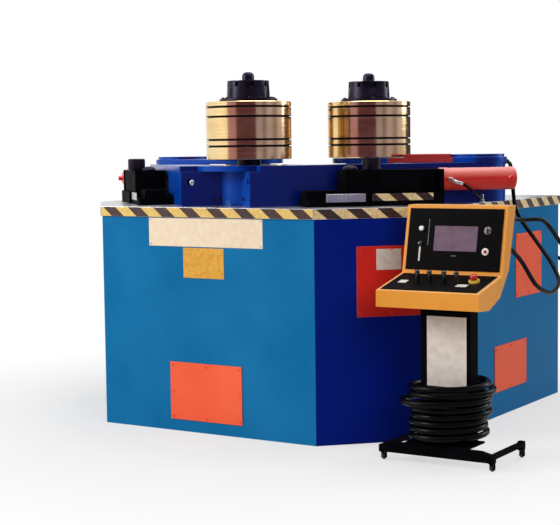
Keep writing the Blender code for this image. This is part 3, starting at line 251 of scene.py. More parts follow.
# Turns that slipped to one side: how far, at what share of the coil, over what share, and to
# what bearing
COIL_SLIPPED = ((0.052, 0.69, 0.045, 3.71), (0.034, 0.90, 0.050, 0.56),
                (0.020, 0.46, 0.040, 0.90), (0.022, 0.24, 0.040, 3.30))
COIL_LOW = BASE_TOP + COIL_CABLE_R + COLUMN_SHEET + 2 * SEAT
COIL_HIGH = COIL_LOW + COIL_PITCH * COIL_LOOPS


def coil_points():
    """One cable: out of the low gland, round the column, and in at the high gland."""
    mouth = COLUMN_BACK + GLAND_H + SEAT - COLUMN_Y
    inner = mouth + COIL_STRAIGHT
    end_angle = math.tau * COIL_LOOPS
    wound = end_angle - 2 * COIL_LEAD
    path = [(mouth, 0.0)]
    for i in range(COIL_LEAD_STEPS):
        quarter = math.pi / 2 * i / COIL_LEAD_STEPS
        path.append((inner + (COIL_R - inner) * math.sin(quarter),
                     COIL_LEAD * (1 - math.cos(quarter))))
    lead_in = list(path)
    steps = round(COIL_STEPS * wound / math.tau)
    for i in range(steps + 1):
        share = i / steps
        uneven = (COIL_UNEVEN * math.sin(math.pi * share)
                  * math.sin(COIL_UNEVEN_RATE * math.tau * share))
        waist = COIL_WAIST * math.sin(math.pi * min(1.0, share / COIL_WAIST_SHARE))
        turned_to = COIL_LEAD + wound * share
        slipped = 0.0
        for reach, middle, width, bearing in COIL_SLIPPED:
            toward = max(0.0, math.cos(turned_to + math.pi / 2 - bearing))
            slipped += reach * toward * math.exp(-((share - middle) / width) ** 2)
        path.append((COIL_R + uneven - waist + slipped, turned_to))
    path += [(radius, end_angle - angle) for radius, angle in reversed(lead_in)]
    return [Vector((TROLLEY_X + radius * math.cos(angle + math.pi / 2),
                    COLUMN_Y + radius * math.sin(angle + math.pi / 2),
                    COIL_LOW + COIL_PITCH * angle / math.tau)) for radius, angle in path]


CABLES.append(lay_cord("cable_coil", coil_points(), COIL_CABLE_R))


# Materials.  A noise's scale is one over the width of its blotches in metres

def srgb(code):
    """Hex colour as linear red, green and blue with alpha."""
    linear = []
    for i in (0, 2, 4):
        value = int(code[i:i + 2], 16) / 255
        linear.append(value / 12.92 if value <= 0.04045 else ((value + 0.055) / 1.055) ** 2.4)
    return (*linear, 1.0)


def connect(tree, node, inputs):
    """Sets a node's inputs: a number, vector or hex colour, or a node's first or named output."""
    for socket, value in inputs.items():
        source = value if isinstance(value, tuple) else (value, 0)
        if isinstance(source[0], bpy.types.Node):
            tree.links.new(source[0].outputs[source[1]], node.inputs[socket])
        else:
            node.inputs[socket].default_value = srgb(value) if isinstance(value, str) else value
    return node


def add(tree, kind, inputs, **settings):
    """Adds a node with its settings and its inputs."""
    made = tree.nodes.new("ShaderNode" + kind)
    for name, value in settings.items():
        setattr(made, name, value)
    return connect(tree, made, inputs)


def blank(name, sockets):
    """A material with its shader's plain sockets set, its tree and its object position."""
    material = bpy.data.materials.new(name)
    material.use_nodes = True
    tree = material.node_tree
    connect(tree, tree.nodes["Principled BSDF"], sockets)
    return material, tree, (add(tree, "TexCoord", {}), "Object")


def tones(tree, pattern, low, high, first, last, most=1.0):
    """Colour that runs from first to last, or most of the way, as a pattern runs low to high."""
    share = add(tree, "MapRange", {"Value": pattern, "From Min": low, "From Max": high,
                                   "To Max": most})
    return add(tree, "Mix", {0: share, 6: first, 7: last}, data_type="RGBA"), 2


def facing(tree, direction):
    """How far a face looks in a direction: 1 straight at it, 0 square to it."""
    normal = (add(tree, "NewGeometry", {}), "Normal")
    return add(tree, "VectorMath", {0: normal, 1: direction}, operation="DOT_PRODUCT"), "Value"


def surface(material, colour, pattern, least, most, relief=None, depth=0.0, span=(0.3, 0.7)):
    """Gives a material its colour, and its roughness from least to most by a pattern.

    Relief is the pattern of its bumps, and depth is theirs in metres.
    """
    tree = material.node_tree
    shader = tree.nodes["Principled BSDF"]
    rough = add(tree, "MapRange", {"Value": pattern, "From Min": span[0], "From Max": span[1],
                                   "To Min": least, "To Max": most})
    connect(tree, shader, {"Base Color": colour, "Roughness": rough})
    if relief:
        bump = add(tree, "Bump", {"Height": relief, "Distance": depth, "Strength": 1.0})
        connect(tree, shader, {"Normal": bump})
    return material


SHOP_DUST = "8C8A84"
TO_CORNER = (0.7071, -0.7071, 0.0)  # the way that the right corner wall looks


def enamel(name, base, shade, gloss, shine=0.12, top=None, painted_sheen_share=0.0, corner=None):
    """Alkyd enamel sprayed on sheet steel: glossy, with orange peel, faint clouds and shop dust.

    Top is painted sheen: the paler tone of faces that look up, standing in for the sky's
    reflection on them; corner is painted shade: the deeper tone of the corner wall, standing in
    for its shade.
    """
    material, tree, place = blank(name, {"IOR": 1.5, "Specular IOR Level": shine})
    clouds = add(tree, "TexNoise", {"Vector": place, "Scale": 1 / 0.35, "Detail": 3.0})
    specks = add(tree, "TexNoise", {"Vector": place, "Scale": 1 / 0.01, "Detail": 6.0,
                                    "Roughness": 0.7})
    # Orange peel of a sprayed coat is about 2 mm across; it is drawn at 7 mm so that it shows
    peel = add(tree, "TexNoise", {"Vector": place, "Scale": 1 / 0.007, "Detail": 2.0})
    colour = tones(tree, clouds, 0.3, 0.7, shade, base)
    # Painted sheen: faces that look up are made paler, in place of the reflection on them
    if top:
        colour = tones(tree, facing(tree, UP), 0.1, 0.95, colour, top, painted_sheen_share)
    # Painted shade: faces that look at the corner are made deeper, in place of the shade on them
    if corner:
        colour = tones(tree, facing(tree, TO_CORNER), 0.9, 0.98, colour, corner)
    colour = tones(tree, specks, 0.66, 0.8, colour, SHOP_DUST, 0.14)
    return surface(material, colour, clouds, gloss - 0.05, gloss + 0.08, peel, 0.00025)


def ground_plate(name, base, shade, gloss=0.26):
    """Cold-rolled plate, surface-ground: fine cross scratches under a cloudy film of oil."""
    material, tree, place = blank(name, {"Metallic": 1.0})
    # Grinding lines are 0.3 mm apart; they are drawn 4 mm apart so that they show
    stretched = add(tree, "Mapping", {"Vector": place, "Scale": (250.0, 6.0, 250.0)})
    lines = add(tree, "TexNoise", {"Vector": stretched, "Scale": 1.0, "Detail": 4.0})
    clouds = add(tree, "TexNoise", {"Vector": place, "Scale": 1 / 0.22, "Detail": 5.0})
    mixed = add(tree, "Math", {0: lines, 1: clouds}, operation="ADD")
    return surface(material, tones(tree, clouds, 0.34, 0.64, shade, base), mixed,
                   gloss - 0.06, gloss + 0.14, lines, 0.00012, span=(0.7, 1.3))


def turned_steel(name, base, shade, gloss):
    """Turned and polished tool steel: tool marks run round the axis, with a warm oil film."""
    material, tree, place = blank(name, {"Metallic": 1.0})
    # The feed marks are 0.2 mm apart; they are drawn 4 mm apart so that they show
    squeezed = add(tree, "Mapping", {"Vector": place, "Scale": (2.0, 2.0, 250.0)})
    marks = add(tree, "TexNoise", {"Vector": squeezed, "Scale": 1.0, "Detail": 3.0})
    film = add(tree, "TexNoise", {"Vector": place, "Scale": 1 / 0.09, "Detail": 4.0})
    return surface(material, tones(tree, film, 0.32, 0.68, shade, base), marks,
                   gloss - 0.05, gloss + 0.08, marks, 0.0001)


def cast_black(name, base, shade, gloss, metallic=0.0, shine=0.1):
    """Black oxide or paint on machined or cast steel: satin, oily in patches, with fine grit."""
    material, tree, place = blank(name, {"Metallic": metallic, "IOR": 1.5,
                                         "Specular IOR Level": shine})
    patches = add(tree, "TexNoise", {"Vector": place, "Scale": 1 / 0.06, "Detail": 5.0})
    grit = add(tree, "TexNoise", {"Vector": place, "Scale": 1 / 0.004, "Detail": 3.0})
    return surface(material, tones(tree, patches, 0.35, 0.68, shade, base), patches,
                   gloss - 0.1, gloss + 0.12, grit, 0.0002)


def moulded(name, base, shade, gloss, shine=0.5):
    """Moulded plastic, or sheet anodised as evenly: satin, with a very fine grain."""
    material, tree, place = blank(name, {"IOR": 1.54, "Specular IOR Level": shine})
    tone = add(tree, "TexNoise", {"Vector": place, "Scale": 1 / 0.02, "Detail": 3.0})
    grain = add(tree, "TexNoise", {"Vector": place, "Scale": 1 / 0.0012, "Detail": 2.0})
    return surface(material, tones(tree, tone, 0.35, 0.65, shade, base), tone,
                   gloss - 0.05, gloss + 0.05, grain, 0.00004)


def neoprene(name, shine):
    """Extruded black neoprene: glossy when new, greyed in patches by dust."""
    material, tree, place = blank(name, {"IOR": 1.5, "Specular IOR Level": shine})
    dust = add(tree, "TexNoise", {"Vector": place, "Scale": 1 / 0.05, "Detail": 5.0})
    skin = add(tree, "TexNoise", {"Vector": place, "Scale": 1 / 0.003, "Detail": 2.0})
    return surface(material, tones(tree, dust, 0.4, 0.75, "010102", "060607"), dust,
                   0.22, 0.4, skin, 0.0001)


def lcd_glass(name):
    """Matt touch film over an unlit LCD: grey-mauve, with soft mottling behind the film."""
    material, tree, place = blank(name, {"IOR": 1.5, "Coat Weight": 0.5, "Coat Roughness": 0.22,
                                         "Specular IOR Level": 0.2})
    tone = add(tree, "TexNoise", {"Vector": place, "Scale": 1 / 0.05, "Detail": 2.0})
    return surface(material, tones(tree, tone, 0.3, 0.7, "5E4858", "70586A"), tone, 0.35, 0.45)


TAPE_SLANT = 1.2  # sideways run of a stripe's edge over its height


def hazard_tape(name, yellow, dark):
    """Printed vinyl hazard tape: slanting yellow and brown-black bars, scuffed and half glossy."""
    material, tree, place = blank(name, {"IOR": 1.5, "Specular IOR Level": 0.3})
    counted = add(tree, "SeparateXYZ", {0: add(tree, "UVMap", {}, uv_map="UVMap")})
    lean = add(tree, "Math", {0: (counted, "Y"), 1: TAPE_SLANT}, operation="MULTIPLY")
    run = add(tree, "Math", {0: (counted, "X"), 1: lean}, operation="ADD")
    bar = add(tree, "Math", {0: run}, operation="FRACT")
    wear = add(tree, "TexNoise", {"Vector": place, "Scale": 1 / 0.012, "Detail": 6.0,
                                  "Roughness": 0.7})
    sun = tones(tree, wear, 0.3, 0.7, "CDA552", yellow)
    ink = tones(tree, wear, 0.4, 0.85, dark, "5A4238")
    return surface(material, tones(tree, bar, 0.485, 0.5, ink, sun), wear, 0.35, 0.55)


def printed_sheet(name, base, shade, gloss=0.45, blotch=0.03):
    """Bare sign plate: enamelled or anodised aluminium, aged in soft patches, with fine dirt."""
    material, tree, place = blank(name, {"IOR": 1.5, "Specular IOR Level": 0.3})
    age = add(tree, "TexNoise", {"Vector": place, "Scale": 1 / blotch, "Detail": 4.0})
    pores = add(tree, "TexNoise", {"Vector": place, "Scale": 1 / 0.004, "Detail": 3.0})
    return surface(material, tones(tree, age, 0.3, 0.72, shade, base), age,
                   gloss - 0.08, gloss + 0.08, pores, 0.00006)


# corner paints shade on the corner walls; top paints sheen on faces that look up
CABINET_ENAMEL = enamel("alkyd_enamel_blue", "1A74AA", "10689C", 0.4, 0.03, corner="061E80")
FRAME_ENAMEL = enamel("alkyd_enamel_deep_blue", "0646A6", "033694", 0.18, 0.16,
                      top="9CB8E0", painted_sheen_share=0.22, corner="081B6A")
COVER_ENAMEL = enamel("alkyd_enamel_vermilion", "FA6844", "EE5A38", 0.42, corner="D3261E")
CONSOLE_ENAMEL = enamel("alkyd_enamel_ochre", "E79C42", "DE9034", 0.36,
                        top="F6CE98", painted_sheen_share=0.4)
CYLINDER_ENAMEL = enamel("alkyd_enamel_red", "DC342A", "C62A22", 0.26, 0.2,
                         top="FFB8AE", painted_sheen_share=0.62)
ARM_RED = enamel("alkyd_enamel_dark_red", "BE3A34", "A42C28", 0.34)
DECK_STEEL = ground_plate("ground_cold_rolled_steel", "C2C3C6", "B0B1B5")
BRIGHT_STEEL = ground_plate("machined_bright_steel", "C4C5C8", "9C9EA4", 0.24)
ROLL_STEEL = turned_steel("polished_tool_steel_straw", "F4D8A2", "E8C488", 0.13)
# Painted shade: the faces in the rolls' grooves are made near-black, in place of the shade in them
GROOVE_PAINTED_SHADE = cast_black("painted_shade_groove_steel", "241412", "140A0A", 0.5)
SHAFT_STEEL = turned_steel("turned_carbon_steel", "A9A6A4", "87858A", 0.24)
NUT_STEEL = cast_black("black_oxide_steel", "2C2638", "100E16", 0.28, metallic=0.55)
FRAME_BLACK = cast_black("black_machine_paint", "0B0B0F", "050507", 0.6, shine=0.01)
DRIVE_GREY = cast_black("grey_iron_casting_paint", "6C7276", "565C60", 0.5)
PANEL_BLACK = moulded("black_anodised_aluminium", "070507", "040304", 0.45, 0.03)
KNOB_BLACK = moulded("black_phenolic", "0E0E10", "08080A", 0.24, 0.6)
BUTTON_WHITE = moulded("white_acetal", "EDEDE8", "DCDCD6", 0.3)
BUTTON_RED = moulded("red_acetal", "C81E1A", "B01814", 0.28)
COLLAR_YELLOW = moulded("yellow_abs", "E8C24A", "DCB23A", 0.4)
TREAD = moulded("black_polyurethane", "141416", "0C0C0E", 0.5, 0.3)
NEOPRENE = neoprene("neoprene_jacket", 0.05)
COIL_NEOPRENE = neoprene("neoprene_jacket_oiled", 0.07)
LCD = lcd_glass("lcd_touch_film")
TAPE = hazard_tape("vinyl_hazard_tape", "F0CE7E", "35201E")
# Painted light: a paler copy of the tape, for the walls in shade, standing in for light on them
PAINTED_LIGHT_TAPE = hazard_tape("vinyl_hazard_tape_painted_light", "FFEBC0", "2A181A")
NAME_BOARD = printed_sheet("enamelled_aluminium_cream", "F1DEC4", "E8D0B2")
PALE_BOARD = printed_sheet("enamelled_aluminium_white", "E2D8D0", "D0C4BA")
GOLD_PLATE = printed_sheet("anodised_aluminium_gold", "E4AA42", "CF922E", 0.38, 0.015)

# Each finish, its slot in the record, and words in the names of the nodes that wear it
OTHER_SLOT = "machined_steel"
WORN = (
    (CABINET_ENAMEL, "cabinet_blue", "body_shell"),
    (DECK_STEEL, "deck_steel", "deck_plate"),
    (FRAME_ENAMEL, "frame_blue", "centre_bracket", "swing_arm"),
    (COVER_ENAMEL, "cover_red", "_cover"),
    (ARM_RED, "cover_red"),
    (CONSOLE_ENAMEL, "console_orange", "console_housing"),
    (CYLINDER_ENAMEL, "cylinder_red", "guide_cylinder"),
    (ROLL_STEEL, "roll_steel", "roll_rings"),
    (NUT_STEEL, "blacked_steel", "roll_nut", "roll_shaft", "guide_roller"),
    (SHAFT_STEEL, OTHER_SLOT, "swing_rod", "selector_knob"),
    (FRAME_BLACK, "frame_black", "swing_barrel", "guide_rail", "guide_slide", "trolley",
     "castor_fork"),
    (DRIVE_GREY, "drive_grey", "hydraulic_unit", "roll_drive"),
    (PANEL_BLACK, "panel_black", "console_panel", "lever_plate"),
    (LCD, "screen_glass", "console_screen"),
    (KNOB_BLACK, "knob_black", "lever"),
    (BUTTON_WHITE, "button_white", "start_button"),
    (COLLAR_YELLOW, "button_white"),
    (BUTTON_RED, "button_red", "stop_button", "emergency_stop"),
    (TREAD, "wheel_rubber", "castor_wheel"),
)
FINISHES = {word: finish for finish, slot, *words in WORN for word in words}


def finish_of(name):
    """The finish whose word is the longest in a node's name; a cable's name has none."""
    words = [word for word in FINISHES if word in name]
    return FINISHES[max(words, key=len)] if words else None


for name, node in NODES.items():
    if finish_of(name):
        node.data.materials.clear()
        node.data.materials.append(finish_of(name))
for cable in CABLES:
    coiled = cable.name.startswith("cable_coil")
    cable.data.materials.append(COIL_NEOPRENE if coiled else NEOPRENE)


# Shaping

EDGE_ANGLE, CAD_EDGE_ANGLE = 35, 30  # degrees at which an edge counts as sharp
MERGE = 0.00001


def only(*chosen):
    """Selects these objects and nothing else."""
    bpy.ops.object.select_all(action="DESELECT")
    for piece in chosen:
        piece.select_set(True)
    bpy.context.view_layer.objects.active = chosen[0]


def named(name):
    piece = bpy.context.active_object
    piece.name = name
    piece.data.name = name
    return piece


def join(name, *pieces):
    only(*pieces)
    bpy.ops.object.join()
    return named(name)


def keep_place():
    """Moves the place of what is selected into its mesh."""
    bpy.ops.object.transform_apply(location=True, rotation=True, scale=True)


def edit_all():
    bpy.ops.object.mode_set(mode="EDIT")
    bpy.ops.mesh.select_all(action="SELECT")


def outward(piece):
    """Turns all faces of a closed piece outwards."""
    only(piece)
    edit_all()
    bpy.ops.mesh.normals_make_consistent(inside=False)
    bpy.ops.object.mode_set(mode="OBJECT")


def even_shading(piece, angle):
    """Smooth over the broken edges while the wide faces stay flat."""
    only(piece)
    bpy.ops.object.shade_smooth_by_angle(angle=math.radians(angle))
    weights = piece.modifiers.new("even_shading", "WEIGHTED_NORMAL")
    weights.keep_sharp = True
    bpy.ops.object.modifier_apply(modifier=weights.name)


def block(name, low, high, edge, steps=1):
    """A plate or block between two corners, with its edges broken."""
    low, high = Vector(low), Vector(high)
    bpy.ops.object.select_all(action="DESELECT")
    bpy.ops.mesh.primitive_cube_add(size=1, calc_uvs=False, location=(low + high) / 2,
                                    scale=high - low)
    piece = named(name)
    keep_place()
    edit_all()
    bpy.ops.mesh.bevel(offset=edge, segments=steps, affect="EDGES")
    bpy.ops.object.mode_set(mode="OBJECT")
    even_shading(piece, EDGE_ANGLE)
    return piece


def turned(name, outline, segments=48, angle=EDGE_ANGLE):
    """A turned piece on the Z axis, from its foot up; the outline is (radius, height) pairs."""
    (radius, level), *rest = outline
    bpy.ops.object.select_all(action="DESELECT")
    bpy.ops.mesh.primitive_circle_add(vertices=segments, radius=radius, fill_type="NGON",
                                      location=(0, 0, level))
    piece = named(name)
    keep_place()
    edit_all()
    for next_radius, next_level in rest:
        bpy.ops.mesh.extrude_region_move(
            TRANSFORM_OT_translate={"value": (0, 0, next_level - level)})
        grow = next_radius / radius
        bpy.ops.transform.resize(value=(grow, grow, 1), center_override=(0, 0, next_level))
        radius, level = next_radius, next_level
    bpy.ops.object.mode_set(mode="OBJECT")
    outward(piece)
    bpy.ops.object.shade_smooth_by_angle(angle=math.radians(angle))
    return piece


def settle(piece, finish, body="machine", place=None):
    """Moves a piece to its place, gives it its finish and lets it ride on its body."""
    only(piece)
    if place is not None:
        piece.matrix_world = place
        keep_place()
        if place.to_3x3().determinant() < 0:
            outward(piece)
    piece.data.materials.clear()
    piece.data.materials.append(finish)
    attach(piece, body)


def stand_in(piece, node, place=None):
    """Settles a piece instead of a CAD node, with the node's finish and on its body."""
    settle(piece, finish_of(node), body_of(NODES[node])[0], place)
    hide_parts(node)


def repeat(master, name, places):
    """Copies of a piece, one at each place, joined as one object; the first piece goes."""
    copies = []
    for place in places:
        copy = master.copy()
        copy.data = master.data.copy()
        bpy.context.collection.objects.link(copy)
        copy.matrix_world = place
        copies.append(copy)
    bpy.data.objects.remove(master)
    only(*copies)
    keep_place()
    return join(name, *copies)


def softened(node, width, steps):
    """A CAD node's shape with its sharp edges broken, shown in the node's place."""
    piece = bpy.data.objects.new(node + "_dressed", NODES[node].data.copy())
    bpy.context.collection.objects.link(piece)
    only(piece)
    edit_all()
    bpy.ops.mesh.remove_doubles(threshold=MERGE)
    bpy.ops.mesh.dissolve_limited(angle_limit=math.radians(1))
    bpy.ops.object.mode_set(mode="OBJECT")
    bevel = piece.modifiers.new("broken_edges", "BEVEL")
    bevel.width = width
    bevel.segments = steps
    bevel.limit_method = "ANGLE"
    bevel.angle_limit = math.radians(EDGE_ANGLE)
    bpy.ops.object.modifier_apply(modifier=bevel.name)
    even_shading(piece, CAD_EDGE_ANGLE)
    stand_in(piece, node)


def upright(start, end):
    """Frame of a wall: X along it from its start, Y up, Z out of it."""
    run = (Vector(end) - Vector(start)).normalized()
    return Matrix(((run.x, 0, run.y, start[0]), (run.y, 0, -run.x, start[1]), (0, 1, 0, 0),
                   (0, 0, 0, 1)))


def sloping(middle, back, rise):
    """Frame of a face of the console: X to the right, Y up the face, Z out of it.

    Back and rise say how far the face goes back and up for each metre along Y.
    """
    return Matrix(((1, 0, 0, middle[0]), (0, back, -rise, middle[1]), (0, rise, back, middle[2]),
                   (0, 0, 0, 1)))


def pointing(place, direction):
    """Frame at a place whose Z runs along the direction."""
    return at(*place) @ Vector(direction).to_track_quat("Z", "Y").to_matrix().to_4x4()


def on_circle(x, y, z, radius, count, first):
    """Places evenly spaced round a vertical axis, from a first bearing on."""
    return [at(x + radius * math.cos(first + math.tau * i / count),
               y + radius * math.sin(first + math.tau * i / count), z) for i in range(count)]


def socket_screw(radius, height):
    """Cap screw with its hexagon socket, head up."""
    return turned("screw", ((radius, 0), (radius, height * 0.85), (radius * 0.9, height),
                            (radius * 0.55, height), (radius * 0.5, height * 0.5)), 16)


def hex_bolt(radius, height):
    """Hexagon bolt head on its washer."""
    head = turned("bolt", ((radius, height * 0.25), (radius, height * 0.9),
                           (radius * 0.88, height)), 6, 20)
    washer = turned("washer", ((radius * 1.25, 0), (radius * 1.25, height * 0.22),
                               (radius * 1.2, height * 0.27)), 24)
    return join("bolt", head, washer)


# Walls and faces, going round the cabinet from the front

CORNER_Y, LEFT_Y = FRONT_Y + CORNER_CUT, FRONT_Y + LEFT_CUT_DEPTH
CORNER_RUN = CORNER_CUT * math.sqrt(2)
LEFT_CORNER_RUN = math.hypot(HALF_WIDTH - FRONT_HALF, LEFT_CUT_DEPTH)
FRONT_WALL = upright((0, FRONT_Y), (1, FRONT_Y))
CORNER_WALL = upright((FRONT_HALF, FRONT_Y), (HALF_WIDTH, CORNER_Y))
SIDE_WALL = upright((HALF_WIDTH, CORNER_Y), (HALF_WIDTH, REAR_Y))
REAR_WALL = upright((HALF_WIDTH, REAR_Y), (-HALF_WIDTH, REAR_Y))
LEFT_WALL = upright((-HALF_WIDTH, REAR_Y), (-HALF_WIDTH, LEFT_Y))
LEFT_CORNER_WALL = upright((-HALF_WIDTH, LEFT_Y), (-FRONT_HALF, FRONT_Y))
COLUMN_WALL = upright((0, COLUMN_FRONT), (1, COLUMN_FRONT))
PANEL_FACE = sloping((1.28, -0.8495, 0.9695), 0.21108, 0.97747)
TRAY_FACE = sloping((1.28, -1.006, 0.7905), 0.97459, 0.224)


# Nodes whose CAD shape stays, by a word in their names, and the width of their broken edges

EDGES = {"body_shell": 0.003, "deck_plate": 0.0012, "centre_bracket": 0.0025, "_cover": 0.0012,
         "roll_nut": 0.0016, "swing_arm": 0.0025, "guide_rail": 0.0012, "guide_slide": 0.0012,
         "trolley_base": 0.002, "trolley_column": 0.0015, "console_housing": 0.002,
         "console_panel": 0.0008, "lever_plate": 0.0008, "console_screen": 0.001,
         "castor_fork": 0.0006}
for node in NODES:
    for word, width in EDGES.items():
        if word in node:
            softened(node, width, 1 if word == "castor_fork" else 2)


# Covers and signs

COVER_OUT = 0.0044  # from the wall to a cover's outer face
COVER_SCREW = (0.0062, 0.003)  # radius and height
SCREW_IN = 0.016  # from a cover's edge to its screws
SCREW_COLUMNS = 3
SIGN_SHEET = 0.0016
RIVET_OUTLINE = ((0.0038, 0), (0.0034, 0.0012), (0.002, 0.002))


def cover_screws(name, wall, across, up, rows):
    """Button-head screws round a cover plate."""
    low, high = across[0] + SCREW_IN, across[1] - SCREW_IN
    foot, top = up[0] + SCREW_IN, up[1] - SCREW_IN
    spots = []
    for i in range(SCREW_COLUMNS):
        for j in range(rows):
            if i in (0, SCREW_COLUMNS - 1) or j in (0, rows - 1):
                spots.append(wall @ at(low + (high - low) * i / (SCREW_COLUMNS - 1),
                                       foot + (top - foot) * j / (rows - 1), COVER_OUT))
    settle(repeat(socket_screw(*COVER_SCREW), name, spots), COVER_ENAMEL)


cover_screws("front_cover_screws", FRONT_WALL, (-0.21, 0.2125), (0.058, 0.342), 3)
cover_screws("corner_cover_screws", CORNER_WALL, (0.201, 0.535), (0.594, 0.923), 3)
cover_screws("side_cover_low_screws", SIDE_WALL, (0.603, 1.012), (0.126, 0.363), 2)
cover_screws("side_cover_high_screws", SIDE_WALL, (0.87, 1.216), (0.588, 0.921), 3)


def sign(name, wall, across, up, out, finish, rivet_in=None):
    """A bare sign plate, with a rivet at each corner if it is riveted."""
    plate = block(name, (across[0], up[0], out), (across[1], up[1], out + SIGN_SHEET), 0.0006)
    settle(plate, finish, place=wall)
    if rivet_in:
        spots = [wall @ at(x, y, out + SIGN_SHEET)
                 for x in (across[0] + rivet_in, across[1] - rivet_in)
                 for y in (up[0] + rivet_in, up[1] - rivet_in)]
        settle(repeat(turned("rivet", RIVET_OUTLINE, 16), name + "_rivets", spots), SHAFT_STEEL)


sign("name_board", FRONT_WALL, (-0.326, 0.341), (0.91, 1.048), SEAT, NAME_BOARD, 0.01)
sign("data_plate", FRONT_WALL, (-0.121, 0.118), (0.758, 0.905), SEAT, GOLD_PLATE, 0.008)
sign("corner_label", CORNER_WALL, (0.295, 0.415), (0.812, 0.909), COVER_OUT, PALE_BOARD)
sign("column_board", COLUMN_WALL, (1.195, 1.385), (0.331, 0.64), SEAT, PALE_BOARD)


# Hazard tape

TAPE_SHEET, TAPE_MARGIN = 0.0006, 0.0012
STRIPE = 0.147  # a yellow and a dark stripe on the sides that the photograph hides


def tape(name, wall, along, up, out, period=STRIPE, phase=0.0, finish=TAPE):
    """A strip of striped tape; its map counts stripes, so that they keep their width."""
    strip = block(name, (along[0], up[0], out), (along[1], up[1], out + TAPE_SHEET), 0.0002)
    layer = strip.data.uv_layers.new(name="UVMap")
    for loop in strip.data.loops:
        spot = strip.data.vertices[loop.vertex_index].co
        layer.data[loop.index].uv = (spot.x / period + phase, (spot.y - up[0]) / period)
    settle(strip, finish, place=wall)


BAND = (DECK_TOP - DECK_PLATE + TAPE_MARGIN, DECK_TOP - TAPE_MARGIN)
LIP_OUT = DECK_LIP + SEAT
tape("front_tape", FRONT_WALL, (-FRONT_HALF, FRONT_HALF), BAND, LIP_OUT, 0.157, 0.521)
# The corner, side and keeper tapes wear the paler copy with painted light
tape("corner_tape", CORNER_WALL, (0.0, CORNER_RUN), BAND, LIP_OUT, 0.146, 0.578, PAINTED_LIGHT_TAPE)
tape("side_tape", SIDE_WALL, (0.0, REAR_Y - CORNER_Y), BAND, LIP_OUT, 0.146, 0.912, PAINTED_LIGHT_TAPE)
tape("rear_tape", REAR_WALL, (0.0, 2 * HALF_WIDTH), BAND, LIP_OUT)
tape("left_tape", LEFT_WALL, (0.0, REAR_Y - LEFT_Y), BAND, LIP_OUT)
tape("left_corner_tape", LEFT_CORNER_WALL, (0.0, LEFT_CORNER_RUN), BAND, LIP_OUT)


# Rolls and nuts

LOWER_RINGS = (0.064, 0.027, 0.109, 0.043)
TOP_RING = 0.024
GROOVE, GROOVE_DEPTH = 0.005, 0.012
RING_EDGE = 0.003
END_MARGIN = 0.01  # the stack's ends, in which no groove lies
FLANGE_SCREW = (0.0075, 0.008)  # radius and height
FLANGE_SCREWS = (0.128, 12, 0.13)  # circle's radius, count and first bearing
STUD_OUTLINE = ((0.0306, 1.69), (0.0306, 1.738), (0.029, 1.748), (0.0225, 1.757),
                (0.012, 1.761), (0.004, 1.7618))


def ring_outline():
    """Stack of rings from the foot up, each with its edges broken."""
    deep, rim = ROLL_R - GROOVE_DEPTH, ROLL_R - RING_EDGE
    level = ROLL_BOTTOM
    outline = [(rim, level)]
    for ring in LOWER_RINGS:
        outline += [(ROLL_R, level + RING_EDGE), (ROLL_R, level + ring - RING_EDGE),
                    (rim, level + ring), (deep, level + ring), (deep, level + ring + GROOVE),
                    (rim, level + ring + GROOVE)]
        level += ring + GROOVE
    return outline + [(ROLL_R, level + RING_EDGE), (ROLL_R, level + TOP_RING - RING_EDGE),
                      (rim, level + TOP_RING)]


for side, (x, y) in ROLLS.items():
    body = "roll_" + side
    stack = turned("roll_rings_" + side + "_dressed", ring_outline(), 96)
    grooves = [face.index for face in stack.data.polygons
               if face.center.xy.length < ROLL_R - RING_EDGE / 4
               and ROLL_BOTTOM + END_MARGIN < face.center.z < STACK_TOP - END_MARGIN]
    stand_in(stack, "roll_rings_" + side, at(x, y))
    # The groove faces take the painted shade
    stack.data.materials.append(GROOVE_PAINTED_SHADE)
    for index in grooves:
        stack.data.polygons[index].material_index = 1
    settle(repeat(socket_screw(*FLANGE_SCREW), "roll_flange_screws_" + side,
                  on_circle(x, y, FLANGE_TOP, *FLANGE_SCREWS)), NUT_STEEL, body)
    settle(turned("roll_stud_" + side, STUD_OUTLINE), NUT_STEEL, body, at(x, y))


# Side guides

ROLLER_OUTLINE = ((0.04, 1.2717), (0.045, 1.276), (0.045, 1.328), (0.0405, 1.3336),
                  (0.015, 1.3336), (0.0145, 1.3326))
BARREL_OUTLINE = ((0.052, 0.0), (CYL_R, 0.003), (CYL_R, 0.042), (0.0548, 0.0435),
                  (0.0548, 0.3405), (CYL_R, 0.342), (CYL_R, 0.382), (0.052, CYL_L))
PORT_OUTLINE = ((0.013, 0.0), (0.013, CYL_R + PORT_H - 0.001), (0.012, CYL_R + PORT_H))
CLAMP_AT = (0.69, 0.165)
CLAMP_OUTLINE = ((0.036, SLIDE_TOP + SEAT), (0.037, SLIDE_TOP + 0.005),
                 (0.033, SLIDE_TOP + 0.013), (0.024, SLIDE_TOP + 0.019),
                 (0.012, SLIDE_TOP + 0.022), (0.003, SLIDE_TOP + 0.0225))
SCALE_LOW, SCALE_HIGH = (0.548, 1.122, SEAT), (0.742, 1.16, 0.003)
KEEPER_STRIP = ((KEEPER_FROM + 0.001, 1.075), (1.1245, KEEPER_TOP - 0.001))

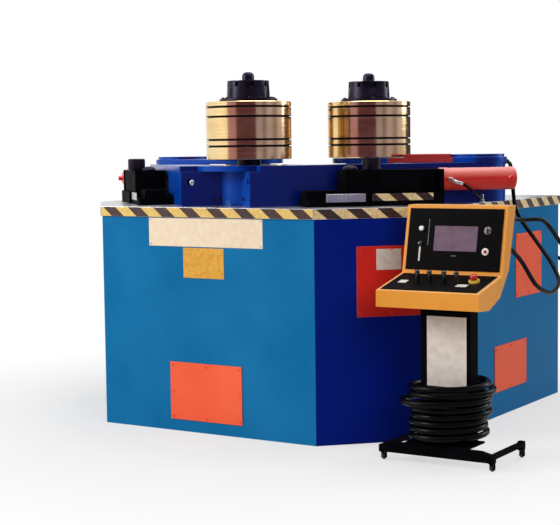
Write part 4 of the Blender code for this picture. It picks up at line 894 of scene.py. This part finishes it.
for side, mirror in (("right", Matrix.Identity(4)), ("left", MIRROR)):
    roller = turned("guide_roller_" + side + "_dressed", ROLLER_OUTLINE, 64)
    spot = mirror @ diagonal_point(*GUIDE_ROLL, 0)
    stand_in(roller, "guide_roller_" + side, at(spot.x, spot.y))

    # Hydraulic cylinder of the guide, with its caps and ports
    parts = [turned("barrel", BARREL_OUTLINE, 64)]
    parts[0].matrix_world = turn(90, "Y")
    for along in (PORT_IN, CYL_L - PORT_IN):
        parts.append(turned("port", PORT_OUTLINE, 24))
        parts[-1].matrix_world = at(along, 0) @ turn(90, "X")
    only(*parts)
    keep_place()
    stand_in(join("guide_cylinder_" + side + "_dressed", *parts), "guide_cylinder_" + side,
             mirror @ DIAGONAL @ at(RAIL_TO + SEAT, -RAIL_MID, ROD_Z))

    # Domed clamp on the near end of the slide, and the scale on the rail's edge
    spot = mirror @ diagonal_point(*CLAMP_AT, 0)
    settle(turned("slide_clamp_" + side, CLAMP_OUTLINE, 40), NUT_STEEL,
           "guide_slide_body_" + side, at(spot.x, spot.y))
    scale = block("rail_scale_" + side, SCALE_LOW, SCALE_HIGH, 0.0008)
    settle(scale, BRIGHT_STEEL, place=mirror @ (DIAGONAL @ at(0, -RAIL_OUT) @ turn(90, "X")))

tape("keeper_tape", DIAGONAL @ at(0, -KEEPER_OUT) @ turn(90, "X"), *KEEPER_STRIP, SEAT,
     0.132, 0.229, PAINTED_LIGHT_TAPE)


# Red guard on the right arm between the roll and the pivot, and its lip down the arm's front
# edge, in a frame whose X runs from the roll's axis to the pivot's

CAP_R, CAP_FROM, CAP_TO = ARM_CAP_R + 0.002, ARM_TOP - 0.02, 1.36  # what is cut away
GUARD_LOW, GUARD_HIGH = (0.222, -0.166, ARM_TOP + SEAT), (0.455, -0.02, 1.341)
LIP_LOW, LIP_HIGH = (0.13, -0.0016, 1.3), (0.462, 0.0, 1.3236)


def make_guard():
    run = Vector(PIVOT) - Vector(ROLLS["right"])
    guard = block("arm_guard_right", GUARD_LOW, GUARD_HIGH, 0.003, 3)
    cap = turned("cap", ((CAP_R, CAP_FROM), (CAP_R, CAP_TO)), 64)
    cap.matrix_world = at(run.length, 0)
    only(guard)
    trim = guard.modifiers.new("trim", "BOOLEAN")
    trim.operation = "DIFFERENCE"
    trim.solver = "EXACT"
    trim.object = cap
    bpy.context.view_layer.update()
    bpy.ops.object.modifier_apply(modifier=trim.name)
    bpy.data.objects.remove(cap)
    lip = block("arm_guard_lip_right", LIP_LOW, LIP_HIGH, 0.0006)
    lean = math.asin((ARM_WIDE - ARM_NARROW) / run.length)
    back = ARM_WIDE + SEAT
    lip.matrix_world = (at(back * math.sin(lean), -back * math.cos(lean))
                        @ Matrix.Rotation(lean, 4, "Z"))
    only(lip)
    keep_place()
    settle(join("arm_guard_right", guard, lip), ARM_RED, "arm_right",
           at(*ROLLS["right"]) @ Matrix.Rotation(math.atan2(run.y, run.x), 4, "Z"))


make_guard()


# Deck fittings

BRACKET_BOLT = (0.013, 0.013)  # radius and height
BRACKET_BOLTS = (0.222, 10, 0.16)  # circle's radius, count and first bearing
BRACKET_FLANGE = 0.0276
PLUG_AT = (BEAM_START - SEAT, -0.014, 1.216)
PLUG_OUTLINE = ((0.015, 0.0), (0.015, 0.003), (0.0125, 0.0065), (0.007, 0.0088),
                (0.002, 0.0095))
settle(repeat(hex_bolt(*BRACKET_BOLT), "bracket_flange_bolts",
              on_circle(*ROLLS["centre"], DECK_TOP + BRACKET_FLANGE, *BRACKET_BOLTS)), NUT_STEEL)
settle(turned("lifting_plug", PLUG_OUTLINE, 32, 60), BRIGHT_STEEL,
       place=MIRROR @ DIAGONAL @ at(*PLUG_AT) @ turn(-90, "Y"))


# Console controls

def on_panel(x, y, z=0.0):
    return PANEL_FACE @ at(x, y, z)


def on_tray(x, y, z=0.0):
    return TRAY_FACE @ at(x, y, z)


PLATE_TOP = 0.0046
START_AT, STOP_AT, SELECTOR_AT = (-0.16, 0.046), (0.154, -0.051), (0.157, 0.041)
LAMP_AT, STOP_HEAD_AT = (-0.162, -0.022), (0.158, 0.02)
LEVER_XS, LEVER_ACROSS, LEVER_BALL_Z = (-0.094, -0.036, 0.033, 0.092), -0.01, -0.012
BEZEL_EDGE = 0.001
PLATE_SCREW = (0.0036, 0.0026)  # radius and height
PLATE_SCREWS = ((on_panel, 0.205, 0.122), (on_tray, 0.2125, 0.097))  # out from the middle
LAMP_OUTLINE = ((0.0105, PLATE_TOP), (0.0105, 0.008), (0.009, 0.009), (0.0085, 0.013),
                (0.006, 0.0155), (0.002, 0.0162))
KNOB_OUTLINE = ((0.0125, 0.0052), (0.013, 0.007), (0.012, 0.012), (0.011, 0.0128))
GRIP_LOW, GRIP_HIGH = (-0.0036, -0.012, 0.012), (0.0036, 0.012, 0.0209)
STOP_OUTLINE = ((0.009, 0.01), (0.009, 0.0196), (0.0155, 0.02), (0.017, 0.0222),
                (0.017, 0.029), (0.0158, 0.0335), (0.0125, 0.0372), (0.007, 0.0392),
                (0.002, 0.0396))
LEVER_OUTLINE = ((0.006, -0.009), (0.01, -0.0045), (0.011, 0.0), (0.0104, 0.004),
                 (0.007, 0.009), (0.0038, 0.0105), (0.004, 0.023), (0.0092, 0.026),
                 (0.0098, 0.04), (0.0112, 0.06), (0.0108, 0.0695), (0.007, 0.0726),
                 (0.002, 0.073))

# Bezels round the controls: radius of the hole and the rim, top, thickness of the floor
for name, hole, rim, top, floor, finish, place in (
        ("start_bezel", 0.0118, 0.0135, 0.0078, 0.0002, KNOB_BLACK, on_panel(*START_AT)),
        ("stop_bezel", 0.0086, 0.016, 0.0078, 0.0002, BUTTON_WHITE, on_panel(*STOP_AT)),
        ("selector_bezel", 0.014, 0.0175, 0.008, 0.0005, SHAFT_STEEL, on_panel(*SELECTOR_AT)),
        ("emergency_stop_collar", 0.01, 0.0245, 0.0144, 0.0003, COLLAR_YELLOW,
         on_tray(*STOP_HEAD_AT))):
    bezel = turned(name, ((rim, PLATE_TOP), (rim, top - BEZEL_EDGE), (rim - BEZEL_EDGE, top),
                          (hole, top), (hole, PLATE_TOP + floor)), 40)
    settle(bezel, finish, place=place)

for name, spot, wide, tall in (("start_button", START_AT, 0.011, 0.0166),
                               ("stop_button", STOP_AT, 0.0078, 0.013)):
    button = turned(name + "_dressed",
                    ((wide - 0.0005, 0.008), (wide, 0.0095), (wide, tall - 0.0026),
                     (wide - 0.001, tall - 0.0006), (wide * 0.55, tall)), 40)
    stand_in(button, name, on_panel(*spot))

settle(turned("panel_lamp", LAMP_OUTLINE, 32), KNOB_BLACK, place=on_panel(*LAMP_AT))

knob = turned("knob", KNOB_OUTLINE, 40)
grip = block("grip", GRIP_LOW, GRIP_HIGH, 0.0012, 3)
stand_in(join("selector_knob_dressed", knob, grip), "selector_knob", on_panel(*SELECTOR_AT))
stand_in(turned("emergency_stop_dressed", STOP_OUTLINE), "emergency_stop", on_tray(*STOP_HEAD_AT))

for i, x in enumerate(LEVER_XS, 1):
    lever = turned("lever_" + str(i) + "_dressed",
                   [(radius, LEVER_BALL_Z + height) for radius, height in LEVER_OUTLINE], 32, 50)
    stand_in(lever, "lever_" + str(i), on_tray(x, LEVER_ACROSS))

corners = [face(x, y, PLATE_TOP) for face, across, up in PLATE_SCREWS
           for x in (-across, across) for y in (-up, up)]
settle(repeat(socket_screw(*PLATE_SCREW), "console_plate_screws", corners), NUT_STEEL)

# Bare marks: a key strip, a fine line and a dash on the panel, and two tags on the tray
for name, face, low, high, finish in (
        ("panel_key_strip", PANEL_FACE, (-0.167, -0.1), (-0.159, -0.036), PALE_BOARD),
        ("panel_fine_line", PANEL_FACE, (-0.127, -0.028), (-0.1248, 0.09), SHAFT_STEEL),
        ("panel_dash", PANEL_FACE, (-0.008, -0.0745), (0.016, -0.0715), SHAFT_STEEL),
        ("tray_tag_left", TRAY_FACE, (-0.188, -0.026), (-0.15, 0.012), PALE_BOARD),
        ("tray_tag_low", TRAY_FACE, (0.098, -0.05), (0.15, -0.018), PALE_BOARD)):
    mark = block(name, (*low, PLATE_TOP - 0.0002), (*high, PLATE_TOP + 0.0006), 0.0002)
    settle(mark, finish, place=face)


# Cable glands, and the hose's ends

def gland(name, base, direction, cable_r):
    """Hexagon base, dome nut and tapered relief sleeve round a cable."""
    nut = turned("gland", ((GLAND_R * 1.12, 0.0), (GLAND_R * 1.12, GLAND_H * 0.42),
                           (GLAND_R, GLAND_H * 0.48)), 6, 20)
    dome = turned("dome", ((GLAND_R * 0.96, GLAND_H * 0.4), (GLAND_R * 0.96, GLAND_H * 0.85),
                           (GLAND_R * 0.8, GLAND_H + 0.001)))
    sleeve = turned("sleeve", ((cable_r * 1.42, GLAND_H), (cable_r * 1.34, GLAND_H + 0.01),
                               (cable_r * 1.2, GLAND_H + 0.02),
                               (cable_r * 1.08, GLAND_H + 0.03)))
    settle(join(name, nut, dome, sleeve), KNOB_BLACK, place=pointing(base, direction))


gland("control_cable_relief", (*LOOP_GLAND, DECK_TOP), UP, CABLE_R)
gland("supply_cable_relief_rear", (REAR_GLAND[0], REAR_Y, REAR_GLAND[1]), BACK, CABLE_R)
for name, spot in zip(("control_cable_relief_console", "supply_cable_relief_console"),
                      CONSOLE_GLANDS):
    gland(name, console_gland_mouth(spot) - Vector((0, GLAND_H, 0)), BACK, CABLE_R)
gland("cable_coil_relief_low", (TROLLEY_X, COLUMN_BACK, COIL_LOW), BACK, COIL_CABLE_R)
gland("cable_coil_relief_high", (TROLLEY_X, COLUMN_BACK, COIL_HIGH), BACK, COIL_CABLE_R)

for name, base, direction in (
        ("hose_crimp_port", PORT, OUTWARD),
        ("hose_crimp_deck", (*HOSE_GLAND, DECK_TOP + HOSE_GLAND_H), UP)):
    nut = turned("hexagon", ((0.012, 0.0), (0.012, 0.009), (0.011, 0.01)), 6, 20)
    sleeve = turned("sleeve", ((0.0098, 0.0098), (0.0098, 0.023), (0.0088, 0.03),
                               (0.0075, 0.034)), 32)
    settle(join(name, nut, sleeve), BRIGHT_STEEL, place=pointing(base, direction))

# The hose's first points run inside its steel elbow
ELBOW_POINTS, ELBOW_SHEET = 4, 0.0012
only(cord_curve("hose_elbow", HOSE_POINTS[:ELBOW_POINTS], HOSE_R + ELBOW_SHEET))
bpy.ops.object.convert(target="MESH")
settle(named("hose_elbow"), BRIGHT_STEEL)


# Floor, background and light

FLOOR_SIZE = 60
FADE_MIDDLE, FADE_FROM, FADE_TO = (0.15, -0.1, 0.0), 1.3, 2.7


def background_rays(tree):
    """Whether a ray sees the white background: from the camera, off metal or through glass."""
    rays = add(tree, "LightPath", {})
    seen = add(tree, "Math", {0: (rays, "Is Camera Ray"), 1: (rays, "Is Glossy Ray")},
               operation="MAXIMUM")
    return add(tree, "Math", {0: seen, 1: (rays, "Is Transmission Ray")}, operation="MAXIMUM")


def floor_finish():
    """Pale studio floor: it keeps the object's shadow, and fades to white further off."""
    material, tree, place = blank("pale_floor", {"Roughness": 0.9, "Specular IOR Level": 0.1})
    shader = tree.nodes["Principled BSDF"]
    tone = add(tree, "TexNoise", {"Vector": place, "Scale": 1 / 1.5, "Detail": 3.0})
    connect(tree, shader, {"Base Color": tones(tree, tone, 0.3, 0.7, "CCCCCC", "D4D4D4")})
    off = add(tree, "VectorMath", {0: place, 1: FADE_MIDDLE}, operation="DISTANCE")
    far = add(tree, "MapRange", {"Value": (off, "Value"), "From Min": FADE_FROM,
                                 "From Max": FADE_TO, "To Min": 0.58})
    share = add(tree, "Math", {0: far, 1: background_rays(tree)}, operation="MULTIPLY")
    white = add(tree, "Emission", {"Color": "FFFFFF", "Strength": 1.0})
    mix = add(tree, "MixShader", {0: share, 1: shader, 2: white})
    connect(tree, tree.nodes["Material Output"], {"Surface": mix})
    return material


def make_floor():
    bpy.ops.object.select_all(action="DESELECT")
    bpy.ops.mesh.primitive_plane_add(size=FLOOR_SIZE)
    floor = named("floor")
    floor.data.materials.append(floor_finish())


def make_world():
    """White behind the object, and a soft cool light on it."""
    world = bpy.data.worlds.new("studio")
    world.use_nodes = True
    bpy.context.scene.world = world
    tree = world.node_tree
    soft = connect(tree, tree.nodes["Background"], {"Color": (0.86, 0.92, 1.0, 1),
                                                    "Strength": 0.12})
    white = add(tree, "Background", {"Color": "FFFFFF", "Strength": 1.0})
    mix = add(tree, "MixShader", {0: background_rays(tree), 1: soft, 2: white})
    connect(tree, tree.nodes["World Output"], {"Surface": mix})


def area_lamp(name, place, aim, side, power, colour=(1, 1, 1), mirrored=True):
    data = bpy.data.lights.new(name, "AREA")
    data.shape = "RECTANGLE"
    data.size = data.size_y = side
    data.energy = power
    data.color = colour
    lamp = bpy.data.objects.new(name, data)
    lamp.matrix_world = pointing(place, Vector(place) - Vector(aim))
    lamp.visible_glossy = mirrored
    bpy.context.collection.objects.link(lamp)


CARD_DISTANCE, CARD_HEIGHT = 9.0, 5.0


def card(name, first, last, colour):
    """An upright studio card that only polished metal sees, between two bearings in degrees."""
    bpy.ops.object.select_all(action="DESELECT")
    a, b = (CARD_DISTANCE * Vector((math.cos(math.radians(t)), math.sin(math.radians(t))))
            for t in (first, last))
    width = (b - a).length
    bpy.ops.mesh.primitive_plane_add(size=1)
    panel = named(name)
    panel.matrix_world = (upright(a, b) @ at(width / 2, CARD_HEIGHT / 2)
                          @ Matrix.Diagonal((width, CARD_HEIGHT, 1, 1)))
    finish = bpy.data.materials.new(name)
    finish.use_nodes = True
    tree = finish.node_tree
    glow = add(tree, "Emission", {"Color": colour, "Strength": 1.0})
    connect(tree, tree.nodes["Material Output"], {"Surface": glow})
    panel.data.materials.append(finish)
    panel.visible_camera = panel.visible_diffuse = panel.visible_shadow = False


make_floor()
make_world()
area_lamp("front_left_softbox", (-5.0, -5.2, 4.0), (0, 0, 0.8), 3.0, 480, (1.0, 0.98, 0.95))
area_lamp("right_softbox", (4.2, 5.2, 3.0), (0.4, 0, 0.8), 2.5, 145, (0.94, 0.97, 1.0))
area_lamp("front_right_softbox", (4.5, -4.0, 2.6), (0.8, -0.6, 0.8), 2.5, 95, mirrored=False)
area_lamp("overhead_softbox", (0.5, 0.2, 6.0), (0.2, 0, 0.8), 4.0, 190)
for name, first, last, colour in (
        ("brown_card", -113, -90, "AE86A5"), ("maroon_card", -90, -40, "58384E"),
        ("tan_card", -40, -24, "A09CC0"), ("umber_card", -24, -12, "8A7A94"),
        ("sand_card", -12, 6, "ADA8CC"), ("drab_card", 6, 22, "968AA0"),
        ("pale_card", 22, 52, "BDB8D4"), ("dark_card", 56, 105, "46383E")):
    card(name, first, last, colour)

bpy.context.scene.view_settings.view_transform = "Standard"
